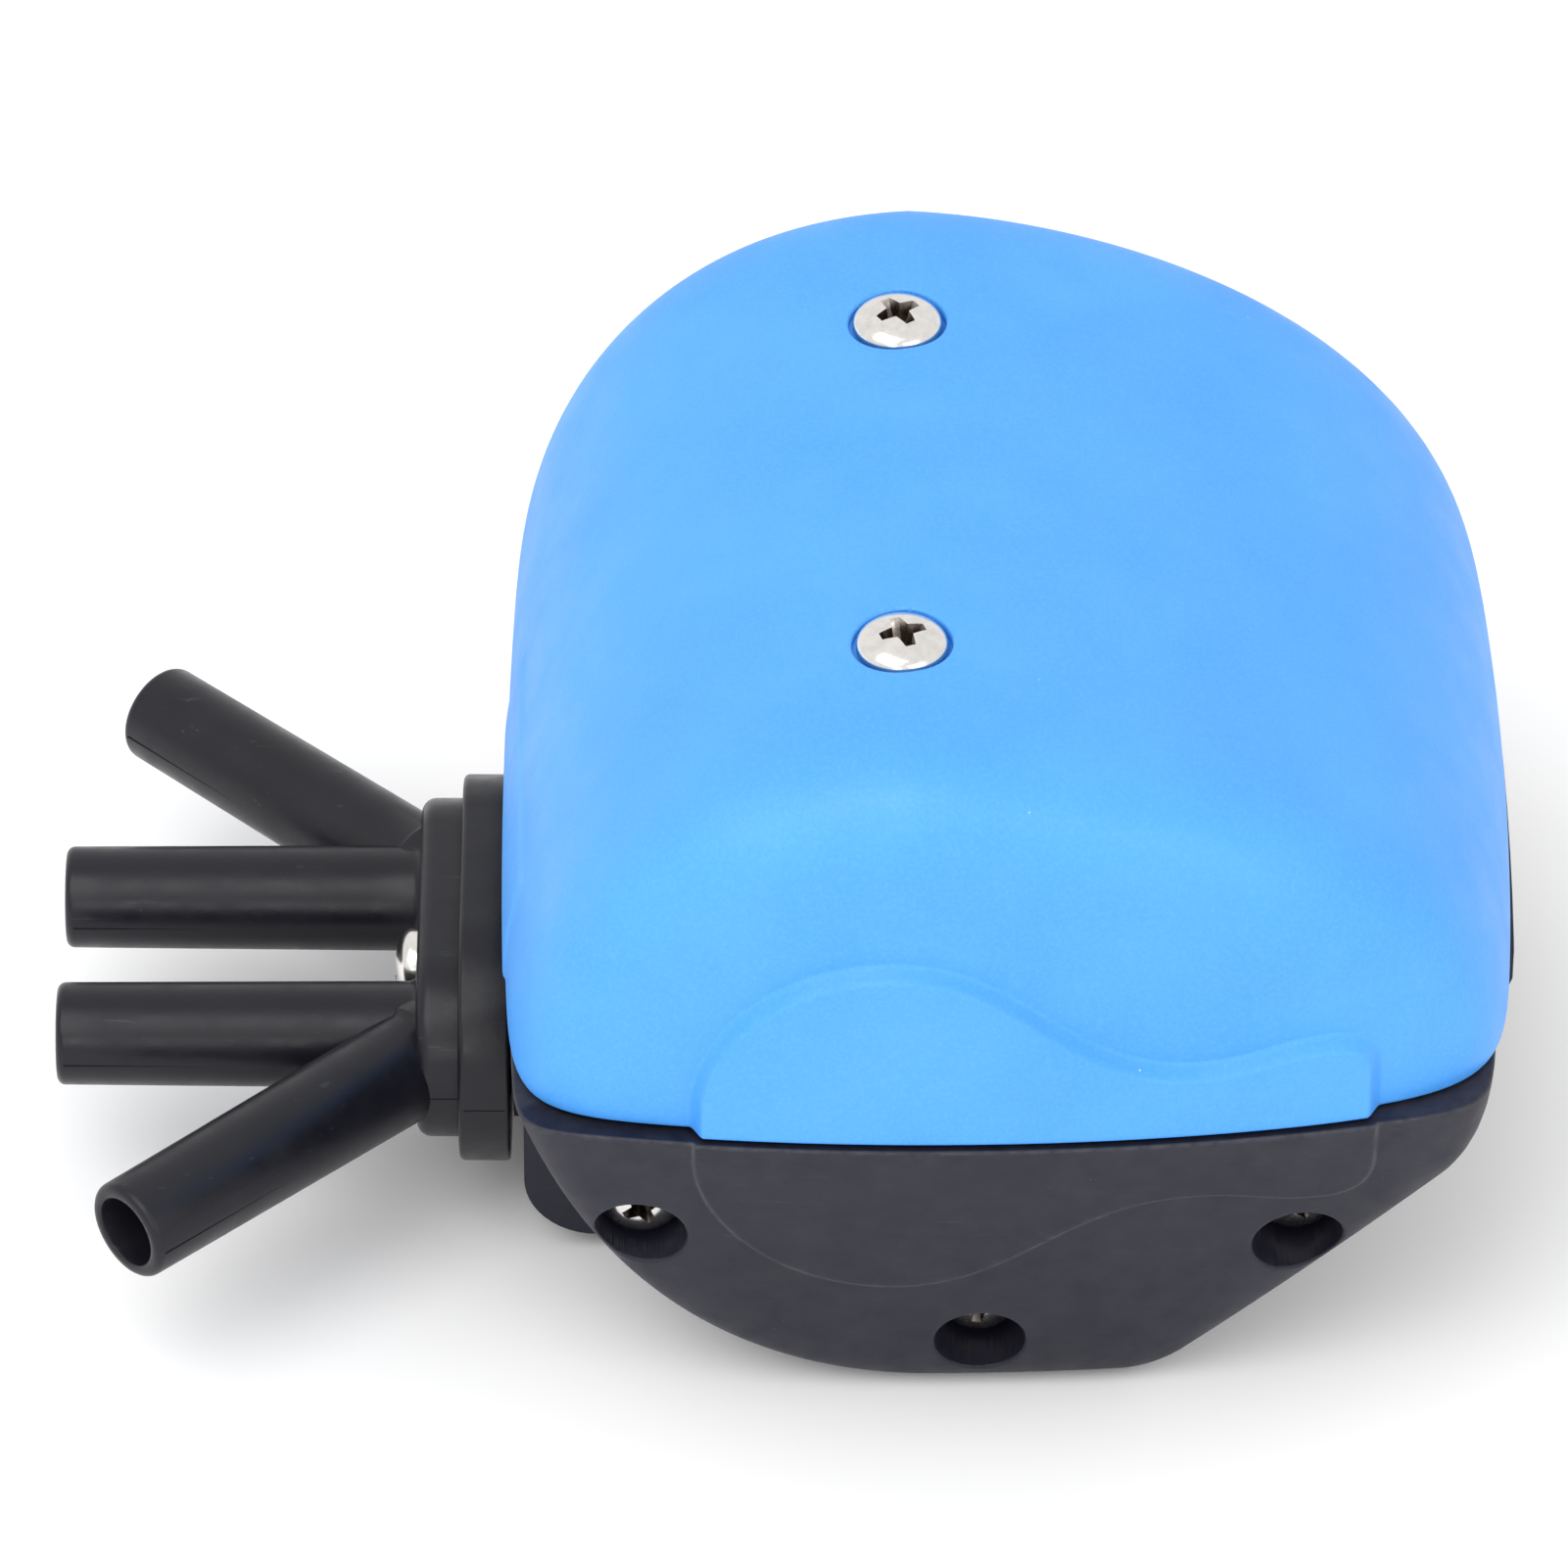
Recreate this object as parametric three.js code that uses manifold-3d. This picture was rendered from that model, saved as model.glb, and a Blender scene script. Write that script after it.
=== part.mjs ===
// Pneumatic milking pulsator: a vacuum-driven shuttle between two diaphragms carries a slide valve
// that feeds two pairs of hose nozzles in turn.
// Millimetres. +X away from the nozzles, +Y towards the back shell, +Z up, z = 0 on the resting face.
// Shapes are drawn about the housing's own centre; the last group moves them so that the origin is
// under the middle of the whole part.
import * as THREE from 'three';
import { mergeVertices } from 'three/addons/utils/BufferGeometryUtils.js';
import { ParametricGeometry } from 'three/addons/geometries/ParametricGeometry.js';
import Module from 'manifold-3d';

const wasm = await Module();
wasm.setup();

// ---------- driving dimensions ----------
const ORIGIN_SHIFT_X = 19.575;
const GAP = 0.3;

// rim plane between the hood and the black housing
const RIM_Z = 35;
const HEART = { x: -8.4, z: RIM_Z };

// hood
const HOOD = { left: -44.1, right: 44.7, peak: 71.8, halfDepth: 45.35, wall: 2.2, n: 11, lean: 0.015 };
const PANEL_PROUD = 1.5;
const UPPER_PANEL = { rise: 10, peak: 18.7, dip: 7, hump: 8.7, corner: 4.6 };
const LOWER_PANEL = { rise: 11, peak: 20, dip: 8.3, hump: 9.9, corner: 5 };
const FRONT_BOW = 0.0022;
const SIDE_BOW = 0.0009;
const BOW_REACH = 45;
const PAD = { proud: 0.25, front: -25, back: 8, top: 46.5 };
const SKIRT = 3;

// lower housing
const SHELL = { left: -43.8, right: 43.7, halfDepth: 47, n: 24, lean: 0.24, panelProud: 0.3 };
const FLAT = { left: -7.2, right: 14 };
const SLANT_END = { x: 40.6, z: 24.8 };
const MATING_Y = 20;
const BODY_HALF = 19.7;
const BODY_LEFT = -42.4;
const BODY_RIGHT = 44.95;
const BODY_CORNER_R = 6.4;
const BODY_BOTTOM = 1.5;

// shuttle axis, along Y
const AXIS = { x: -3, z: 40 };
const CHAMBER = { radius: 22.1, end: 35, recess: 18.9 };
const BEAD = { inner: 22.4, outer: 24.2, near: 18.6, far: 20.9, play: 0.3 };
const CAP = { radius: 26.5, end: 38 };
const WALL_DISC_R = 28;
const WALL_INNER = 15.7;

// diaphragm stack, distances from the middle plane
const MEMBRANE = { middle: 24.2, thick: 1, flatR: 13, bulge: 0.9, bore: 2.3 };
const PLATE = { radius: 12.5, thick: 1.2 };
const ROD = { radius: 3, endRadius: 2, shoulder: 21.9, end: 31.5 };
const NUT = { corner: 4.04, height: 3 };
const BUSH = { bore: 3.2, outer: 4.6, flangeR: 6, flangeThick: 0.8 };

// valve chamber
const CAVITY = { left: -24, right: 18, floor: 25.4, top: 56, wall: 2.5 };
const POCKET_LEFT = [-39, -28.5, 22];
const POCKET_RIGHT = [23, 33, 24];
const POCKET_HALF = 15.5;
const VALVE_PLATE = { left: -14, right: 13.5, half: 13.5, bottom: 27, top: 29.5 };
const PORT = { centre: -3, halfLength: 5, halfWidth: 1.5, offset: 8 };
const PILOT = { x: 9, half: 3, halfLength: 5.2, top: 34.2, slotHalf: 1.4, slotFloor: 31.7, cavity: 30.8 };
const SHOE = { half: 6.8, halfLength: 9.2, top: 33.6, cavityHalf: 6.3, cavityTop: 32.2 };
const YOKE = { half: 5, body: 5, bottom: 35.2, bar: 36.7, top: 49, legHalf: 11.3, legInner: 9.5, legEnd: 31 };
const LEVER = { pivotZ: 40, arm: 7, thick: 2, pinR: 1, slotHalf: 1.4, tipR: 1, legHalf: 0.6, top: 49 };
const FILTER = { bottom: 56.3, top: 61.5 };

// hose manifold
const MANIFOLD = {
  z: 16.2, outerFace: -52, step: -48.2, innerFace: -43.65,
  outerHalf: 18.6, outerR: 9.2, innerHalf: 20.2, innerR: 12.3, edge: 1.2,
};
const NOZZLE = { tipR: 4.575, rootR: 4.775, bore: 3.25, lip: 0.8, face: 0.55 };
const STRAIGHT = { y: 9.6, tip: -84.1 };
const SPLAYED = { rootY: 13.3, tipX: -77, tipY: 36.7 };
const GALLERY_R = 4.6;
const GASKET = { half: 17, radius: 7, thick: 0.65 };
const CHANNEL_R = 3.5;

// vacuum inlet on the underside
const INLET = { socketR: 13, socketTop: 11.6, channelR: 3.5, boreR: 7.75, lipZ: 1.8, grommetTop: 11.2 };

// screws: head radius, head height, shank radius, shank length
const COVER_SCREW = { headR: 4, headH: 2.3, shankR: 1.9, length: 7.2 };
const SHELL_SCREW = { headR: 3.5, headH: 2.1, shankR: 1.6, end: 15 };
const HOSE_SCREW = { headR: 3.4, headH: 2.2, shankR: 1.9, length: 20 };
const COVER_SCREW_X = -9.5;
const COVER_SCREW_Y = 23;
const COVER_SEAT_Z = 70.4;
const COVER_RECESS_R = 4.35;
const COVER_BOSS = { radius: 5.4, bottom: 68.2 };
const POST = { radius: 4.2, top: 67.9, holeBottom: 62.6 };
const SHELL_COUNTERBORE_R = 4;
const SHELL_HOLE_END = 14.5;
const BOSS_R = 4.5;
// shell screws: x, z and the distance of the head's seat from the middle plane
const LOWER_SCREWS = { left: [-31.8, 21.2, 37], bottom: [-2.1, 6.8, 33.5], right: [25.4, 18.8, 33.5] };
const UPPER_SCREWS = { upper_left: [-29, 53, 33], upper_right: [24, 50.5, 33] };
const SHELL_SCREWS = { ...LOWER_SCREWS, ...UPPER_SCREWS };

// rate screw, on the slanted underside; distances run inwards from the slanted face
const RATE = { x: 28.5, headR: 3.6, headTop: 1, headEnd: 3.6, shankR: 1.75, shankEnd: 8.5, tip: 10.9 };
const RATE_BORE = {
  counterR: 4.6, counterEnd: 4.2, sealR: 3, sealEnd: 8,
  guideR: 2.1, guideEnd: 10.6, seatR: 0.9, seatEnd: 15.5,
};
const RATE_RING = { middle: 6.3, radius: 2.35, section: 0.45 };
const SLOT = { width: 1, depth: 1.1 };

const ROUND = 14;
const FINE = 24;
const SMALL = 10;

// ---------- materials ----------
function plastic(color, roughness) {
  return new THREE.MeshStandardMaterial({ color, roughness, metalness: 0 });
}

function metal(color, roughness) {
  return new THREE.MeshStandardMaterial({ color, roughness, metalness: 1 });
}

const BLUE = plastic(0x3f95ee, 0.5);
const BLACK = plastic(0x26262b, 0.45);
const WHITE = plastic(0xe6e4de, 0.4);
const FOAM = plastic(0x3b3d40, 1);
const RUBBER = plastic(0x17171a, 0.8);
const STEEL = metal(0xcfcbc4, 0.25);
const BRASS = metal(0xc2a25a, 0.35);

// ---------- solids ----------
function toSolid(geometry) {
  const bare = geometry.index ? geometry.toNonIndexed() : geometry.clone();
  bare.deleteAttribute('normal');
  bare.deleteAttribute('uv');
  const merged = mergeVertices(bare, 1e-4);
  const triangles = [];
  for (let i = 0; i < merged.index.count; i += 3) {
    const [a, b, c] = [merged.index.getX(i), merged.index.getX(i + 1), merged.index.getX(i + 2)];
    if (a !== b && b !== c && c !== a) triangles.push(a, b, c);
  }
  return new wasm.Manifold(new wasm.Mesh({
    numProp: 3,
    vertProperties: new Float32Array(merged.attributes.position.array),
    triVerts: new Uint32Array(triangles),
  }));
}

function toGeometry(solid) {
  const mesh = solid.getMesh();
  const geometry = new THREE.BufferGeometry();
  geometry.setAttribute('position', new THREE.BufferAttribute(mesh.vertProperties, 3));
  geometry.setIndex(new THREE.BufferAttribute(mesh.triVerts, 1));
  geometry.computeVertexNormals();
  return geometry;
}

function joined(solids) {
  return solids.reduce((sum, next) => sum.add(next));
}

function cut(solid, tools) {
  return tools.reduce((rest, tool) => rest.subtract(tool), solid);
}

function box(x0, x1, y0, y1, z0, z1) {
  const geometry = new THREE.BoxGeometry(x1 - x0, y1 - y0, z1 - z0);
  geometry.translate((x0 + x1) / 2, (y0 + y1) / 2, (z0 + z1) / 2);
  return toSolid(geometry);
}

const ALONG_X = new THREE.Matrix4().makeBasis(
  new THREE.Vector3(0, 1, 0), new THREE.Vector3(0, 0, 1), new THREE.Vector3(1, 0, 0));
const ALONG_Y = new THREE.Matrix4().makeBasis(
  new THREE.Vector3(1, 0, 0), new THREE.Vector3(0, 0, 1), new THREE.Vector3(0, -1, 0));

// A rod between two distances on a coordinate axis through the point (u, v) of the other two.
function rodX(y, z, radius, x0, x1, sides = ROUND) {
  const geometry = new THREE.CylinderGeometry(radius, radius, Math.abs(x1 - x0), sides);
  geometry.rotateZ(Math.PI / 2);
  geometry.translate((x0 + x1) / 2, y, z);
  return toSolid(geometry);
}

function rodY(x, z, radius, y0, y1, sides = ROUND) {
  const geometry = new THREE.CylinderGeometry(radius, radius, Math.abs(y1 - y0), sides);
  geometry.translate(x, (y0 + y1) / 2, z);
  return toSolid(geometry);
}

function rodZ(x, y, radius, z0, z1, sides = ROUND) {
  const geometry = new THREE.CylinderGeometry(radius, radius, Math.abs(z1 - z0), sides);
  geometry.rotateX(Math.PI / 2);
  geometry.translate(x, y, (z0 + z1) / 2);
  return toSolid(geometry);
}

// An outline in the XZ plane, pulled along Y from y0 to y1.
function prismY(shape, y0, y1, curveSegments = 6) {
  const geometry = new THREE.ExtrudeGeometry(shape, { depth: y1 - y0, bevelEnabled: false, curveSegments });
  geometry.applyMatrix4(ALONG_Y);
  geometry.translate(0, y1, 0);
  return toSolid(geometry);
}

// A closed profile of [radius, height] points turned about the Z axis.
function turned(profile, sides = ROUND) {
  const points = profile.map(([r, h]) => new THREE.Vector2(r, h));
  return new THREE.LatheGeometry(points, sides);
}

function ring(inner, outer, low, high, sides = ROUND) {
  return turned([[inner, low], [outer, low], [outer, high], [inner, high], [inner, low]], sides);
}

// Lathe shapes stand on +Y; these lay that axis along X, Y (towards the back) or Z.
function layAlongY(geometry, x, z) {
  return toSolid(geometry.clone().translate(x, 0, z));
}

function standUp(geometry) {
  return geometry.clone().rotateX(Math.PI / 2);
}

// ---------- the two outer forms ----------
// Half sections in the XZ plane from rim to rim, running anticlockwise about HEART.
function hoodSection() {
  const { left, right, peak } = HOOD;
  const rise = new THREE.CubicBezierCurve(
    new THREE.Vector2(right, RIM_Z), new THREE.Vector2(right, 63.4),
    new THREE.Vector2(6.8, peak - 0.7), new THREE.Vector2(HEART.x, peak));
  const fall = new THREE.CubicBezierCurve(
    new THREE.Vector2(HEART.x, peak), new THREE.Vector2(-32.1, peak - 1.5),
    new THREE.Vector2(left, 52.4), new THREE.Vector2(left, RIM_Z));
  return [...rise.getPoints(11), ...fall.getPoints(11).slice(1)];
}

function lowerSection() {
  const { left, right } = SHELL;
  const flank = new THREE.CubicBezierCurve(
    new THREE.Vector2(left, RIM_Z), new THREE.Vector2(-40, 21.5),
    new THREE.Vector2(-30.2, 0.6), new THREE.Vector2(FLAT.left, 0));
  const corner = new THREE.QuadraticBezierCurve(
    new THREE.Vector2(FLAT.right - 3, 0), new THREE.Vector2(FLAT.right, 0),
    new THREE.Vector2(FLAT.right + 2.6, 2.2));
  const rise = new THREE.QuadraticBezierCurve(
    new THREE.Vector2(SLANT_END.x, SLANT_END.z), new THREE.Vector2(43.4, 28),
    new THREE.Vector2(right, RIM_Z));
  return [...flank.getPoints(9), ...corner.getPoints(3), ...rise.getPoints(4)];
}

// Stations from the middle section to the front pole, walked along two sides of a square and
// pulled onto the superellipse, with more of them near its corner.
function station(v, exponent) {
  const walk = Math.abs(2 * v - 1) * 2 - 1;
  const eased = 1 + Math.sign(walk) * Math.abs(walk) ** 1.5;
  const across = Math.min(1, 2 - eased);
  const deep = Math.min(1, eased);
  const length = (across ** exponent + deep ** exponent) ** (1 / exponent);
  return { shrink: across / length, depth: Math.sign(0.5 - v) * deep / length };
}

// A closed form whose sections shrink about HEART towards the front and back, with bowed faces
// that lean in away from the rim. The rim chord closes it.
function superForm(section, { halfDepth, n, lean }, grow = 0, skirt = 0, stations = 16) {
  const loop = [...section];
  const last = loop[loop.length - 1];
  if (skirt > 0) {
    loop.push(new THREE.Vector2(last.x, RIM_Z - skirt), new THREE.Vector2(loop[0].x, RIM_Z - skirt));
  }
  loop.push(loop[0]);
  const put = (u, v, target) => {
    const point = loop[Math.round(u * (loop.length - 1))];
    const dx = point.x - HEART.x;
    const dz = point.y - HEART.z;
    const reach = Math.hypot(dx, dz);
    const { shrink, depth } = station(v, n);
    const out = dx * shrink * (reach + grow) / reach;
    const up = dz * shrink * (reach + grow) / reach;
    const y = depth * (halfDepth + grow - lean * Math.abs(up) - FRONT_BOW * out ** 2);
    const sideBow = Math.sign(out) * SIDE_BOW * y ** 2 * (out / BOW_REACH) ** 2;
    target.set(HEART.x + out - sideBow, y, HEART.z + up);
  };
  return toSolid(new ParametricGeometry(put, loop.length - 1, stations));
}

// The wavy raised panel's outline; side is +1 above the rim and -1 below it.
function panelShape(side) {
  const { rise, peak, dip, hump, corner } = side > 0 ? UPPER_PANEL : LOWER_PANEL;
  const shape = new THREE.Shape();
  const height = (h) => RIM_Z + side * h;
  shape.moveTo(-27.4, height(-0.4));
  shape.lineTo(-27.4, height(3));
  shape.bezierCurveTo(-27.2, height(rise), -20.5, height(peak), -10, height(peak));
  shape.bezierCurveTo(1, height(peak), 4.5, height(dip), 15.9, height(dip));
  shape.bezierCurveTo(21, height(dip), 22.5, height(hump), 27.3, height(hump));
  shape.quadraticCurveTo(31.8, height(hump), 31.8, height(corner));
  shape.lineTo(31.8, height(-0.4));
  shape.closePath();
  return shape;
}

function panels(form, side) {
  const slabs = [prismY(panelShape(side), -60, -MATING_Y), prismY(panelShape(side), MATING_Y, 60)];
  return form.intersect(joined(slabs));
}

// ---------- hood ----------
function cover() {
  const section = hoodSection();
  const skin = superForm(section, HOOD);
  const above = box(-60, 60, -60, 60, RIM_Z, 90);
  const raised = panels(superForm(section, HOOD, PANEL_PROUD), 1).intersect(above);
  const padBlock = box(-60, -36, PAD.front, PAD.back, RIM_Z, PAD.top);
  const pad = superForm(section, HOOD, PAD.proud).intersect(padBlock);
  const inside = superForm(section, HOOD, -HOOD.wall, SKIRT, 12);
  const shell = joined([skin, raised, pad]).subtract(inside);
  const bosses = [-1, 1].map((side) => rodZ(
    COVER_SCREW_X, side * COVER_SCREW_Y, COVER_BOSS.radius, COVER_BOSS.bottom, COVER_SEAT_Z));
  const recesses = [-1, 1].map((side) => rodZ(
    COVER_SCREW_X, side * COVER_SCREW_Y, COVER_RECESS_R, COVER_SEAT_Z, 80, FINE));
  const holes = [-1, 1].map((side) => rodZ(
    COVER_SCREW_X, side * COVER_SCREW_Y, COVER_SCREW.shankR + GAP, 60, 80));
  return cut(joined([shell, ...bosses]), [...recesses, ...holes]);
}

// ---------- front and back shells ----------
function beadSeat(y0, y1) {
  return rodY(AXIS.x, AXIS.z, BEAD.outer + BEAD.play, y0, y1, FINE);
}

function shell(side) {
  const section = lowerSection();
  const plain = superForm(section, SHELL);
  const raised = panels(superForm(section, SHELL, SHELL.panelProud), -1);
  const keep = side < 0
    ? box(-60, 60, -60, -MATING_Y, 0, RIM_Z - GAP)
    : box(-60, 60, MATING_Y, 60, 0, RIM_Z - GAP);
  const chin = plain.add(raised).intersect(keep);
  const upper = box(-60, 60, -60, 60, RIM_Z - 1, 90);
  const cap = rodY(AXIS.x, AXIS.z, CAP.radius, side * MATING_Y, side * CAP.end, FINE).intersect(upper);
  const bosses = Object.values(UPPER_SCREWS).map(([x, z, seat]) => rodY(
    x, z, BOSS_R, side * MATING_Y, side * seat));
  const webs = Object.values(UPPER_SCREWS).map(([x, z, seat]) => box(
    Math.min(x, AXIS.x), Math.max(x, AXIS.x), Math.min(side * MATING_Y, side * (seat - 3)),
    Math.max(side * MATING_Y, side * (seat - 3)), z - 2, z + 2));
  const post = rodZ(COVER_SCREW_X, side * (COVER_SCREW_Y + 1), POST.radius, 60, POST.top)
    .intersect(keepAbove(side));
  const chamber = rodY(AXIS.x, AXIS.z, CHAMBER.radius, side * (MATING_Y - 1), side * CHAMBER.end, FINE);
  const groove = beadSeat(side * (MATING_Y - 1), side * (BEAD.far + BEAD.play));
  const holes = Object.values(SHELL_SCREWS).map(([x, z, seat]) => rodY(
    x, z, SHELL_SCREW.shankR + GAP, side * (MATING_Y - 1), side * (seat + 1), SMALL));
  const counterbores = Object.values(SHELL_SCREWS).map(([x, z, seat]) => rodY(
    x, z, SHELL_COUNTERBORE_R, side * seat, side * 60, ROUND));
  const postHole = rodZ(COVER_SCREW_X, side * COVER_SCREW_Y, COVER_SCREW.shankR + GAP, POST.holeBottom, 70);
  const mass = joined([chin, cap, ...bosses, ...webs, post]);
  return cut(mass, [chamber, groove, ...holes, ...counterbores, postHole]);
}

function keepAbove(side) {
  return side < 0 ? box(-60, 60, -60, -MATING_Y, 0, 90) : box(-60, 60, MATING_Y, 60, 0, 90);
}

// ---------- valve body ----------
function bodyShape() {
  const top = RIM_Z - GAP;
  const shape = new THREE.Shape();
  shape.moveTo(BODY_RIGHT, top);
  shape.lineTo(BODY_LEFT, top);
  shape.lineTo(BODY_LEFT, BODY_BOTTOM + BODY_CORNER_R);
  shape.absarc(
    BODY_LEFT + BODY_CORNER_R, BODY_BOTTOM + BODY_CORNER_R, BODY_CORNER_R, Math.PI, 1.5 * Math.PI, false);
  shape.lineTo(FLAT.right, BODY_BOTTOM);
  shape.lineTo(FLAT.right + 2.6, 2.2);
  shape.lineTo(SLANT_END.x, SLANT_END.z);
  shape.quadraticCurveTo(43.6, 28, BODY_RIGHT, 32.6);
  shape.closePath();
  return shape;
}

// The body's right end bows in towards its two flanks, like the hood's.
function bowedPlan() {
  const points = [new THREE.Vector2(-60, -30), new THREE.Vector2(-60, 30)];
  for (let y = 24; y >= -24; y -= 6) points.push(new THREE.Vector2(BODY_RIGHT - SIDE_BOW * y ** 2, y));
  const outline = new THREE.Shape(points.reverse());
  return toSolid(new THREE.ExtrudeGeometry(outline, { depth: 40, bevelEnabled: false }));
}

// Place a solid drawn about +Z (pointing out of the face) on the slanted underside.
function onSlant(geometry) {
  const placed = geometry.clone();
  placed.rotateY(0.75 * Math.PI);
  placed.translate(RATE.x, 0, RATE.x - FLAT.right);
  return placed;
}

function slantBore(radius, start, end, sides = ROUND) {
  const geometry = new THREE.CylinderGeometry(radius, radius, end - start, sides);
  geometry.rotateX(Math.PI / 2);
  geometry.translate(0, 0, -(start + end) / 2);
  return toSolid(onSlant(geometry));
}

function valveBody() {
  const sides = [-1, 1];
  const block = prismY(bodyShape(), -BODY_HALF, BODY_HALF).intersect(bowedPlan());
  const discs = sides.map((side) => rodY(
    AXIS.x, AXIS.z, WALL_DISC_R, side * (WALL_INNER - 1), side * BODY_HALF, FINE));
  const lugs = sides.flatMap((side) => Object.values(UPPER_SCREWS).map(([x, z]) => rodY(
    x, z, BOSS_R, side * (WALL_INNER - 1), side * BODY_HALF)));
  const { left, right, floor, top, wall } = CAVITY;
  const ends = box(left - wall, right + wall, -WALL_INNER, WALL_INNER, RIM_Z - 1, top);
  const cavity = box(left, right, -WALL_INNER, WALL_INNER, floor, 80);
  const pockets = [POCKET_LEFT, POCKET_RIGHT].map(([x0, x1, z]) => box(
    x0, x1, -POCKET_HALF, POCKET_HALF, z, RIM_Z + 1));
  const recesses = sides.map((side) => rodY(
    AXIS.x, AXIS.z, CHAMBER.radius, side * CHAMBER.recess, side * (MATING_Y + 1), FINE));
  const grooves = sides.map((side) => beadSeat(side * (BEAD.near - BEAD.play), side * (MATING_Y + 1))
    .subtract(rodY(AXIS.x, AXIS.z, BEAD.inner - BEAD.play - 0.1, 0, side * (MATING_Y + 2), FINE)));
  const bushHoles = rodY(AXIS.x, AXIS.z, BUSH.outer + GAP, -MATING_Y, MATING_Y);
  const screwHoles = sides.flatMap((side) => Object.values(SHELL_SCREWS).map(([x, z]) => rodY(
    x, z, SHELL_SCREW.shankR + GAP, side * SHELL_HOLE_END, side * (MATING_Y + 1), 16)));
  const inlet = [
    rodZ(AXIS.x, 0, INLET.socketR, -1, INLET.socketTop, FINE),
    rodZ(AXIS.x, 0, INLET.channelR, 5, floor + 1),
  ];
  const ports = sides.map((side) => box(
    PORT.centre - PORT.halfLength, PORT.centre + PORT.halfLength,
    side * PORT.offset - PORT.halfWidth, side * PORT.offset + PORT.halfWidth, MANIFOLD.z, floor + 1));
  const channels = sides.map((side) => rodX(
    side * STRAIGHT.y, MANIFOLD.z, CHANNEL_R, BODY_LEFT - 1, PORT.centre + PORT.halfLength));
  const hoseHole = rodX(0, MANIFOLD.z, HOSE_SCREW.shankR + GAP, BODY_LEFT - 1, -31);
  const pinHole = rodX(0, LEVER.pivotZ, LEVER.pinR + GAP, right - 1, right + wall + 1, SMALL);
  const rate = [
    slantBore(RATE_BORE.counterR, -3, RATE_BORE.counterEnd),
    slantBore(RATE_BORE.sealR, 0, RATE_BORE.sealEnd),
    slantBore(RATE_BORE.guideR, 0, RATE_BORE.guideEnd),
    slantBore(RATE_BORE.seatR, 0, RATE_BORE.seatEnd, SMALL),
  ];
  const mass = joined([block, ...discs, ...lugs, ends]);
  return cut(mass, [
    cavity, ...pockets, ...recesses, ...grooves, bushHoles, ...screwHoles,
    ...inlet, ...ports, ...channels, hoseHole, pinHole, ...rate,
  ]);
}

// ---------- diaphragms and shuttle ----------
function membraneHeight(r) {
  const { middle, flatR, bulge } = MEMBRANE;
  const edge = (BEAD.near + BEAD.far) / 2 + 0.3;
  if (r <= flatR) return middle;
  const part = (r - flatR) / (BEAD.inner - flatR);
  return edge + (middle - edge) * (0.5 + 0.5 * Math.cos(Math.PI * part)) + bulge * Math.sin(Math.PI * part);
}

function diaphragm(side) {
  const { bore, flatR, thick } = MEMBRANE;
  const steps = 4;
  const radii = [bore, flatR];
  for (let i = 1; i <= steps; i += 1) radii.push(flatR + (BEAD.inner - flatR) * i / steps);
  const low = radii.map((r) => [r, membraneHeight(r) - thick / 2]);
  const high = radii.map((r) => [r, membraneHeight(r) + thick / 2]).reverse();
  const rim = [
    [BEAD.inner, BEAD.near], [BEAD.outer, BEAD.near], [BEAD.outer, BEAD.far], [BEAD.inner, BEAD.far],
  ];
  const profile = [...low, ...rim, ...high, low[0]];
  return toGeometry(alongAxis(turned(profile, FINE), side));
}

// A lathe shape on the shuttle axis, drawn for the back and turned round for the front.
function alongAxis(geometry, side) {
  const placed = geometry.clone();
  if (side < 0) placed.rotateX(Math.PI);
  return layAlongY(placed, AXIS.x, AXIS.z);
}

function stackRing(side, low, high, outer) {
  return toGeometry(alongAxis(ring(MEMBRANE.bore, outer, low, high), side));
}

function shuttleRod() {
  const { radius, endRadius, shoulder, end } = ROD;
  const half = [[endRadius - 0.4, end], [endRadius, end - 0.6], [endRadius, shoulder], [radius, shoulder]];
  const mirrored = half.map(([r, h]) => [r, -h]).reverse();
  const profile = [[0, -end], ...mirrored.reverse(), ...half.reverse(), [0, end]];
  return toGeometry(alongAxis(turned(profile), 1));
}

function rodNut(side) {
  const low = MEMBRANE.middle + MEMBRANE.thick / 2 + GAP + PLATE.thick + GAP;
  const hexagon = rodY(AXIS.x, AXIS.z, NUT.corner, side * low, side * (low + NUT.height), 6);
  return toGeometry(hexagon.subtract(rodY(AXIS.x, AXIS.z, ROD.endRadius + GAP, side * 20, side * 40)));
}

function rodBush(side) {
  const { bore, outer, flangeR, flangeThick } = BUSH;
  const inner = WALL_INNER - GAP - flangeThick;
  const shoulder = WALL_INNER - GAP;
  const end = CHAMBER.recess - GAP;
  const profile = [
    [bore, inner], [flangeR, inner], [flangeR, shoulder], [outer, shoulder], [outer, end], [bore, end],
    [bore, inner],
  ];
  return toGeometry(alongAxis(turned(profile), side));
}

function slideYoke() {
  const { half, body, bottom, bar, top, legHalf, legInner, legEnd } = YOKE;
  const x = PORT.centre;
  const block = box(x - half, x + half, -body, body, bottom, top);
  const beam = box(x - half + 1, x + half - 1, -legHalf, legHalf, bottom, bar);
  const legs = [-1, 1].map((side) => box(
    x - half + 1, x + half - 1, Math.min(side * legInner, side * legHalf),
    Math.max(side * legInner, side * legHalf), legEnd, bar));
  const peg = rodX(0, LEVER.pivotZ + LEVER.arm, LEVER.pinR, x + half - 1, PILOT.x + 1.6, SMALL);
  const bore = rodY(AXIS.x, AXIS.z, ROD.radius + GAP, -MATING_Y, MATING_Y);
  return toGeometry(joined([block, beam, ...legs, peg]).subtract(bore));
}

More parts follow.
